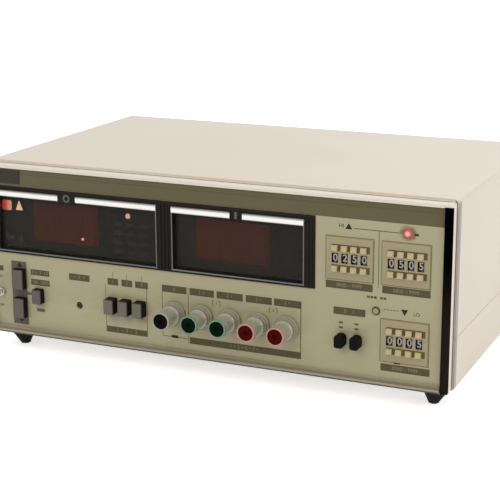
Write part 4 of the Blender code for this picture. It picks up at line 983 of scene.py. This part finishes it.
# Left, right, bottom and top of each label bar, and what it says
LABEL_BARS = (
    (-203.2, -195.3, 56.2, 60.9, ""),
    (-167.2, -148.4, 55.7, 60.8, "0.1  1  10"), (-167.2, -148.4, 46.7, 52.1, "100  1000"),
    (-128.4, -108.1, 55.6, 61.4, "−  0  +"),
    (-90.4, -80.2, 55.6, 61.4, "1"), (-77.0, -66.6, 55.6, 61.4, "2"), (-63.9, -51.7, 55.6, 61.4, "3"),
    (-92.8, -53.0, 13.4, 18.7, "1  –  2  –  3"),
    (-38.4, -15.5, 55.4, 61.5, "0"), (-12.6, 9.7, 55.4, 61.5, "1 +"), (12.1, 35.7, 55.4, 61.5, "2 +"),
    (38.5, 61.5, 55.4, 61.5, "2 −"), (63.4, 87.0, 55.4, 61.5, "1 −"),
    (-13.0, 86.5, 12.8, 18.6, "1 + 2 + 2 − 1 −"),
    (107.9, 147.0, 76.2, 82.3, "0000 – 9999"), (154.9, 193.9, 76.6, 82.6, "0000 – 9999"),
    (154.7, 194.9, 13.0, 19.0, "0000 – 9999"),
    (114.7, 141.4, 55.0, 61.1, "0    1"),
)
BAR_TEXT = 4.2

# Characters on the bare panel: what they say, the middle across and up, and their size
PANEL_WORDS = (
    ("ON", -199.2, 51.0, 3.4), ("OFF", -199.2, 24.4, 3.4),
    ("▲", -178.4, 63.4, 5.4), ("▼", -178.4, 12.6, 5.4),
    ("HI", 120.4, 127.4, 4.4), ("▲", 126.6, 127.0, 6.4),
    ("LO", 183.2, 62.2, 4.0), ("▼", 173.4, 62.4, 6.4),
    ("1", 11.8, 51.0, 3.4), ("2", 62.7, 51.0, 3.4),
)

# Left, right, bottom and top of the thin lines, and of the marks that stand for small print
LINES = (
    (130.9, 170.6, 125.8, 126.4), (151.3, 151.8, 80.0, 126.2),
    (-92.8, -92.4, 18.7, 55.6), (-53.4, -52.9, 18.7, 55.6),
    (-38.6, -38.1, 18.0, 55.4), (-14.3, -13.8, 12.8, 61.5), (-38.4, -14.0, 16.6, 17.1),
    (86.5, 87.1, 12.8, 61.5),
    (-85.5, -85.1, 61.4, 66.5), (-72.0, -71.6, 61.4, 66.5), (-58.0, -57.6, 61.4, 66.5),
    (8.1, 8.6, 48.5, 53.2), (14.8, 15.3, 48.5, 53.2), (59.0, 59.5, 48.5, 53.2), (65.8, 66.3, 48.5, 53.2),
    (8.1, 10.0, 52.7, 53.2), (13.4, 15.3, 52.7, 53.2), (59.0, 61.0, 52.7, 53.2), (64.3, 66.3, 52.7, 53.2),
    *((156.6 + 2.6 * i, 158.2 + 2.6 * i, 63.2, 63.8) for i in range(5)),
)
DARK_MARKS = (
    (-30.1, -24.0, 16.0, 18.4), (167.3, 168.3, 20.6, 25.4), (165.4, 170.8, 19.8, 20.8),
    (179.8, 183.4, 125.0, 126.5),
)
SMALL_MARKS = (
    *((x, x + 3.4, z, z + 1.5) for x in (119.4, 132.4) for z in (43.6, 47.6)),
    *((x, x + 2.3, 71.4, 73.2) for x in (142.4, 145.3, 148.2, 153.2, 156.1)),
)
BANK_MARGIN = 0.9
THIN = 0.45


def bank_frame(bank):
    """The four sides of the thin printed frame round a bank."""
    x, height = place_of("pushwheel_housing_" + bank)
    half_width, half_height = BANK_SIZE[0] / 2 + BANK_MARGIN, BANK_SIZE[1] / 2 + BANK_MARGIN
    left, right, bottom, top = x - half_width, x + half_width, height - half_height, height + half_height
    return [(left, right, bottom, bottom + THIN), (left, right, top - THIN, top),
            (left, left + THIN, bottom, top), (right - THIN, right, bottom, top)]


def make_panel_print():
    """Label bars, thin lines, arrows and plain numerals on the front panel."""
    refined("front_panel", "panel_enamel", 0.15)
    for name, places, finish in (
            ("label_bars", [bar[:4] for bar in LABEL_BARS], "print_olive"),
            ("range_field", [(-186.9, -171.4, 9.2, 66.6), (-171.4, -164.0, 37.0, 39.4)], "print_field"),
            ("thin_lines", LINES, "print_olive"),
            ("bank_lines", [line for bank in BANKS for line in bank_frame(bank)], "print_line"),
            ("dark_marks", DARK_MARKS, "print_dark"),
            ("small_marks", SMALL_MARKS, "print_olive"),
            ("hold_mark", [(-162.4, -154.4, 22.9, 26.0)], "print_field")):
        dress(plates(name, places), finish)
    badge = plates("blank_badge", [(-202.6, -174.6, 135.6, 147.6)], 0.4 * MM)
    dress(badge, "badge_black")
    numbers = [
        characters(words, (left + right) / 2, (bottom + top) / 2, BAR_TEXT, PANEL_FACE - PRINT_THICKNESS)
        for left, right, bottom, top, words in LABEL_BARS if words]
    dress(joined("bar_numbers", numbers), "print_number")
    dark_words = [characters(*words) for words in PANEL_WORDS]
    dress(joined("dark_characters", dark_words), "print_dark")


# Displays

# Faces of the segments, legends, lamps and tabs, and the left, right, bottom and top of the lit window
SEGMENT_FACE = BOARD_FACE - 0.3 * MM
LEGEND_BACK = LENS_BACK + 1.4 * MM
LAMP_BACK = LENS_BACK + 1.2 * MM
ARROW_BACK = LENS_BACK + 1.1 * MM
TAB_FACE = PANEL_FACE - 1.0 * MM
LIT_WINDOW = (-197.2, -188.0, 110.3, 119.0)


def make_window(side):
    """A window frame with a bright brushed bar along its top, and its smoked lens."""
    node = "window_frame_" + side
    piece = refined(node, "frame_satin", 0.5, 40.0, 3)
    bar_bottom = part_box(node)[1].z - 6.3 * MM
    coat_faces(piece, "bright_bar", lambda face: face.calc_center_median().z > bar_bottom)
    coat(frame["nodes"]["window_lens_" + side], "smoked_acrylic")


def make_segments(left, shown):
    """The bars of one seven-part digit, each with pointed ends."""
    width, height = DIGIT_SIZE
    right, top = left + width, DIGIT_BOTTOM + height
    middle = DIGIT_BOTTOM + height / 2
    thick = width * 0.15
    across = (left + thick * 0.6, right - thick * 0.6)
    upper = (middle + thick * 0.2, top - thick * 0.5)
    lower = (DIGIT_BOTTOM + thick * 0.5, middle - thick * 0.2)
    places = {
        "a": (*across, top - thick, top),
        "b": (right - thick, right, *upper),
        "c": (right - thick, right, *lower),
        "d": (*across, DIGIT_BOTTOM, DIGIT_BOTTOM + thick),
        "e": (left, left + thick, *lower),
        "f": (left, left + thick, *upper),
        "g": (*across, middle - thick / 2, middle + thick / 2),
    }
    bars = []
    for letter in shown:
        x0, x1, z0, z1 = places[letter]
        bar = block("segment", (x0 * MM, SEGMENT_FACE, up(z0)), (x1 * MM, BOARD_FACE + 0.05 * MM, up(z1)))
        open_mesh(bar)
        round_corners(bar, min(x1 - x0, z1 - z0) * MM * 0.42, 1)
        close_mesh()
        bars.append(bar)
    return bars


def make_digits(side):
    """The unlit digits of one display, and the point after each."""
    left, right = DIGIT_AREAS[side]
    bars = []
    for number in range(4):
        x = left + DIGIT_MARGIN + (right - left) / 4 * number
        bars += make_segments(x, "bc" if number == 0 else "abcdefg")
        bars.append(block("point", ((x + POINT_SHIFT) * MM, SEGMENT_FACE, up(DIGIT_BOTTOM)),
                          ((x + POINT_SHIFT + POINT_SIZE) * MM, BOARD_FACE, up(DIGIT_BOTTOM + POINT_SIZE))))
    dress(joined("digits_" + side, bars), "segment_red")


def make_legends():
    """The faint legends behind the lenses that aren't lit."""
    legends = [(-195.6, -191.8, 83.4, 89.0), (-190.8, -187.2, 83.4, 87.6), (-181.0, -178.4, 82.6, 88.4)]
    faint = [(x, x + 8.0, z, z + 3.6) for x in (-87.0, -74.0, -61.0) for z in (82.0, 90.0, 98.0, 106.0)]
    for name, places, finish in (("unlit_legends", legends, "legend_grey"),
                                 ("faint_legends", faint, "legend_dim")):
        dress(plates(name, places, 0.3 * MM, LEGEND_BACK), finish)


def make_lit_window():
    """The lit window, with rounded corners and a slightly raised face."""
    left, right, bottom, top = LIT_WINDOW
    piece = block("lit_window", (left * MM, LAMP_BACK - 0.6 * MM, up(bottom)),
                  (right * MM, LAMP_BACK, up(top)))
    open_mesh(piece)
    round_corners(piece, 1.6 * MM)
    pick(piece, "FACE", looks_forward)
    bpy.ops.mesh.inset(thickness=0.5 * MM, depth=0.25 * MM)
    close_mesh()
    smooth(piece, 50.0)
    dress(piece, "lamp_window")


def lamp_dot(x, height, radius):
    """A small round lamp behind the lens."""
    return turned("dot", [(0, 0), (radius, 0)] + dome(radius, 0.2, radius * 0.3, 15),
                  (x * MM, LAMP_BACK, up(height)), 24, 60.0)


def make_lit_signs():
    """The narrow lit arrow, the lit dots, and a dimly glowing plate behind the lens, a painted glow round the
    larger dot.
    """
    arrow = characters("▲", 0, 114.4, 11.0, ARROW_BACK, 0.4 * MM)
    solo(arrow)
    bpy.ops.transform.resize(value=(0.7, 1, 1), center_override=(0, 0, 0))
    arrow.location = (-180.1 * MM, 0, 0)
    dress(settle("lit_arrow"), "lamp_arrow")
    dots = [lamp_dot(-72.7, 115.5, 2.2), lamp_dot(-117.3, 91.0, 1.2)]
    dress(joined("lit_dots", dots), "lamp_dot")
    # A painted glow round the larger dot
    halo = plates("halo", [(-76.4, -69.0, 111.8, 119.2)], 0.2 * MM, LEGEND_BACK)
    open_mesh(halo)
    round_corners(halo, 3.4 * MM, 8)
    close_mesh()
    dress(halo, "lamp_halo")


def make_displays():
    """The display bezel, its windows, and what shows behind them and on its tabs."""
    refined("display_bezel", "moulded_black", 0.3)
    for side in DIGIT_AREAS:
        make_window(side)
    for side in DIGIT_AREAS:
        make_digits(side)
    make_legends()
    make_lit_window()
    make_lit_signs()
    ring = turned("tab_ring", [(1.9, -0.02), (1.9, 0.12), (3.4, 0.12), (3.4, -0.02), (1.9, -0.02)],
                  (-127.8 * MM, TAB_FACE, up(127.2)), 40)
    marks = plates("tab_mark", [(29.2, 31.4, 124.4, 130.2)], face=TAB_FACE)
    dress(joined("tab_marks", [ring, marks]), "legend_dim")


# Keys and switches

# Nodes, width and height, reach from the panel, and the finish of the cap if there is one
KEYS = (
    (("range_up_button", "range_down_button"), (11.2, 18.2), 6.2, "range_grey"),
    (("hold_button",), (9.2, 12.8), 6.2, "range_grey"),
    (("mode_button_1", "mode_button_2", "mode_button_3"), (9.3, 13.2), 8.5, "key_grey"),
    (("function_button_1", "function_button_2"), (7.4, 10.2), 9.2, None),
)

# Steps inwards and forwards of the front of a key with a cap, and of one without
CAP_STEPS = ((0.25, 0.0), (0.1, 0.5), (0.25, 0.25), (0.3, 0.08))
DISH_STEPS = ((0.25, 0.4), (0.45, 0.3), (0.8, -0.25))

# How deep a cap is dished, and how much narrower the floor of the dish is
DISH_DEPTH = 0.15
DISH_SHARE = (0.8, 1, 0.85)


def make_key(node, size, reach, cap):
    """A moulded key: a black body with rounded edges, and a dished front that may have a grey cap."""
    half_x, half_z = (length / 2 * MM for length in size)
    centre = at(*place_of(node))
    front = PANEL_FACE - reach * MM
    piece = block(node + "_key", (centre.x - half_x, front, centre.z - half_z),
                  (centre.x + half_x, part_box(node)[1].y, centre.z + half_z))
    open_mesh(piece)
    round_corners(piece, (1.0 if cap else 1.9) * MM)
    pick(piece, "FACE", looks_forward)
    for inwards, forwards in CAP_STEPS if cap else DISH_STEPS:
        bpy.ops.mesh.inset(thickness=inwards * MM, depth=forwards * MM)
    if cap:
        bpy.ops.mesh.extrude_region_move(TRANSFORM_OT_translate={"value": (0, DISH_DEPTH * MM, 0)})
        bpy.ops.transform.resize(value=DISH_SHARE, center_override=(centre.x, front, centre.z))
    close_mesh()
    # The steps push the front forward, so it is brought back to the key's reach.
    ahead = front - min(vertex.co.y for vertex in piece.data.vertices)
    open_mesh(piece)
    pick(piece, "FACE", lambda face: face.calc_center_median().y < front + 0.05 * MM)
    bpy.ops.transform.translate(value=(0, ahead, 0))
    close_mesh()
    if cap:
        piece.data.materials.append(FINISHES["key_black"])
        coat_faces(piece, cap, lambda face: face.calc_center_median().y < front + ahead + 0.02 * MM
                   and face.normal.y < -0.2)
    smooth(piece, 30.0)
    body = frame["nodes"][node]["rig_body"]
    dress(piece, None if cap else "switch_black", body, [node])


def make_controls():
    """The keys, the power switch, and the trimmer in the rim of its hole."""
    for nodes, *shape in KEYS:
        for node in nodes:
            make_key(node, *shape)
    refined("power_switch_body", "plated", 0.2, 35.0)
    refined("power_lever", "plated", 0.0, 50.0)
    refined("zero_trimmer", "brass", 0.15)
    rim = turned("trimmer_rim", [(3.2, 0.02), (3.3, 0.3), (3.7, 0.4), (4.3, 0.25), (4.5, 0.02), (3.2, 0.02)],
                 at(*place_of("zero_trimmer")), 40, 50.0)
    dress(rim, "rim_pale")


# Lamps on the panel

COLLAR = ((2.5, 0.02), (2.6, 0.55), (2.9, 0.75), (3.3, 0.6), (3.5, 0.02), (2.5, 0.02))

def make_panel_lamp(node, finish, collar):
    """A domed lamp in a thin collar."""
    place = at(*place_of(node))
    lamp = turned(node + "_dome", [(0, -5.5), (2.45, -5.5)] + dome(2.45, 1.0, 0.8, 10), place, 40, 50.0)
    dress(lamp, finish, nodes=[node])
    ring = turned(node + "_collar", COLLAR, place, 40, 50.0)
    dress(ring, collar)


def make_lamps():
    """The lit and the unlit lamp, and a thin film on the panel with the lit one's glow painted on it."""
    # The lit lamp's collar is painted with its glow, the unlit one's is not
    make_panel_lamp("limit_led", "lamp_limit", "collar_lamp_glow")
    make_panel_lamp("ring_led", "lamp_clear", "lamp_ring")
    film = turned("painted_lamp_glow", [(3.4, 0.0), (3.4, 0.03), (7.0, 0.03), (7.0, 0.0), (3.4, 0.0)],
                  LIMIT_LAMP, 48, 40.0)
    dress(film, "lamp_glow")


# Binding posts: radius and reach from the panel of each outline

POST_BASE = (
    (0, -10.0), (4.4, -10.0), (4.4, 0.05), (10.2, 0.05), (10.6, 0.4), (10.6, 2.3), (10.2, 2.8), (9.3, 2.9),
    (9.2, 3.2), (9.2, 5.1), (8.8, 5.5), (2.4, 5.6), (2.4, 9.5), (0, 9.5))
POST_NUT = (
    (2.9, 6.0), (7.8, 6.0), (8.3, 6.4), (8.3, 8.5), (7.9, 9.0), (7.4, 9.1), (7.2, 9.4), (7.2, 10.6),
    (6.9, 10.9), (6.9, 11.3), (7.2, 11.6), (7.2, 20.0), (7.5, 20.3), (7.8, 20.7), (7.8, 24.9), (7.6, 25.4),
    (7.1, 25.58), (6.6, 25.5), (6.3, 25.0), (2.9, 25.0), (2.9, 6.0))
POST_RIM = (
    (6.2, 24.4), (7.4, 23.6), (7.86, 23.9), (7.86, 25.0), (7.5, 25.55), (6.9, 25.6), (6.4, 25.4), (6.2, 24.4))
POST_CORE = (
    (0, 18.0), (2.0, 18.0), (2.0, 24.6), (2.3, 25.1), (5.5, 25.3), (6.4, 25.5), (6.6, 25.3), (6.5, 24.4),
    (0, 23.4))


def make_post(number, colour):
    """A stepped insulating base, a thumb nut, and the rim and core of a coloured socket face."""
    place = at(*place_of(f"post_nut_{number}"))
    body = f"post_{number}_unscrew_body"
    base = turned(f"post_base_{number}_turned", POST_BASE, place, 56, 35.0)
    dress(base, "post_insulator", nodes=[f"post_base_{number}"])
    nut = turned(f"post_nut_{number}_turned", POST_NUT, place, 56, 35.0)
    dress(nut, "post_body", body, [f"post_nut_{number}"])
    rim = turned(f"post_rim_{number}", POST_RIM, place, 48, 60.0)
    dress(rim, "socket_rim_" + colour, body)
    core = turned(f"post_core_{number}", POST_CORE, place, 48, 45.0)
    dress(core, "socket_core_" + colour, body)


# Number wheel banks


def make_pusher(x, height):
    """The cap on a push key: its face slopes forward to a finger ledge along its lower edge."""
    half_x, half_z = PUSHER_SIZE[0] / 2, PUSHER_SIZE[1] / 2
    face = at(x, height)
    low = face + Vector((-half_x, -PUSHER_REACH, -half_z)) * MM
    high = face + Vector((half_x, -BANK_PROUD + 0.1, half_z)) * MM
    piece = block("pusher", low, high)
    open_mesh(piece)
    pick(piece, "EDGE", lambda edge: runs_along(edge, 0) and edge.verts[0].co.y < low.y + 0.1 * MM
         and edge.verts[0].co.z > face.z)
    bpy.ops.transform.translate(value=(0, PUSHER_SLOPE * MM, 0))
    close_mesh()
    soften(piece, 0.3 * MM, 2, 30.0)
    return piece


def make_numbers_master():
    """The ten numbers round a wheel, about an axis through the origin."""
    pieces = []
    for number in range(10):
        text = characters(str(number), 0, -CASE_FLOOR / MM, NUMBER_SIZE, -WHEEL_RADIUS * MM, 0.1 * MM, 0.14)
        text.rotation_euler = (-WHEEL_STEP * number, 0, 0)
        pieces.append(settle("number"))
    return joined("numbers_master", pieces)


def make_bank(bank, numbers_master):
    """A housing with its pushers, a dark slot about each that is partly painted shadow, and the numbers on
    its four wheels.
    """
    housing = "pushwheel_housing_" + bank
    x, height = place_of(housing)
    refined(housing, "bank_tan", 0.2)
    pushers = []
    slot_and_shadow_plates = []
    for wheel, value in enumerate(BANKS[bank]):
        wheel_x = x + (wheel - 1.5) * WHEEL_PITCH
        low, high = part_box(f"digit_wheel_{bank}_{wheel + 1}")
        numbers = copy_of(numbers_master, f"numbers_{bank}_{wheel + 1}", (low + high) / 2, WHEEL_STEP * value)
        dress(numbers, "number_white", f"{bank}_decade_{wheel + 1}_body")
        for side in (1, -1):
            level = height + side * PUSHER_OFFSET
            pushers.append(make_pusher(wheel_x, level))
            left, right, bottom, top = SLOT_AND_SHADOW
            slot_and_shadow_plates.append((wheel_x + left, wheel_x + right, level + bottom, level + top))
    dress(joined("pushers_" + bank, pushers), "pusher_cream")
    # Dark plates about the pushers: the slot each runs in, widened to its right and above by painted shadow
    dress(plates("slots_" + bank, slot_and_shadow_plates, face=PANEL_FACE - BANK_PROUD * MM), "bank_slot_and_shadow")


def make_banks():
    """The three banks, with one set of numbers copied to each wheel."""
    master = make_numbers_master()
    for bank in BANKS:
        make_bank(bank, master)
    bpy.data.objects.remove(master)


# Rear and inside


def make_rear():
    """The rear panel with its fittings, and eight cross-slotted screws."""
    for node, finish, slot in (("rear_panel", "rear_enamel", "rear_paint"),
                               ("mains_inlet", "switch_black", "black_plastic"),
                               ("fuse_holder", "switch_black", "black_plastic")):
        refined(node, finish, 0.2)
    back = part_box("rear_panel")[1].y
    screw = turned("rear_screw_1", [(0, 0.0), (3.0, 0.0), (3.1, 0.4), (2.6, 1.3), (1.6, 1.8), (0, 2.0)],
                   (0, 0, 0), 32, forward=(0, 1, 0))
    for x, z in ((2.4, 0.4), (0.4, 2.4)):
        carve(screw, block("cutter", (-x * MM, 1.2 * MM, -z * MM), (x * MM, 3.0 * MM, z * MM)))
    smooth(screw, 35.0)
    places = [Vector((x * MM, back, up(z))) for x in (-198, -66, 66, 198) for z in (12, 142)]
    screws = [copy_of(screw, "screw", place) for place in places]
    bpy.data.objects.remove(screw)
    dress(joined("rear_screws", screws), "plated")


def finish_inner_nodes():
    """Nodes inside the case keep their solids and get a finish."""
    finishes = {
        "display_board": "display_backing", "key_board": "board_green", "main_board": "board_green",
        "power_transformer": "core_steel",
    }
    for bank in BANKS:
        for wheel in range(1, 5):
            finishes[f"digit_wheel_{bank}_{wheel}"] = "wheel_black"
    for node, finish in finishes.items():
        coat(frame["nodes"][node], finish)


set_up_camera()
make_floor()
set_up_lights()
make_case()
make_panel_print()
make_displays()
make_controls()
make_lamps()
for number, colour in enumerate(POST_COLOURS, start=1):
    make_post(number, colour)
make_banks()
make_rear()
finish_inner_nodes()
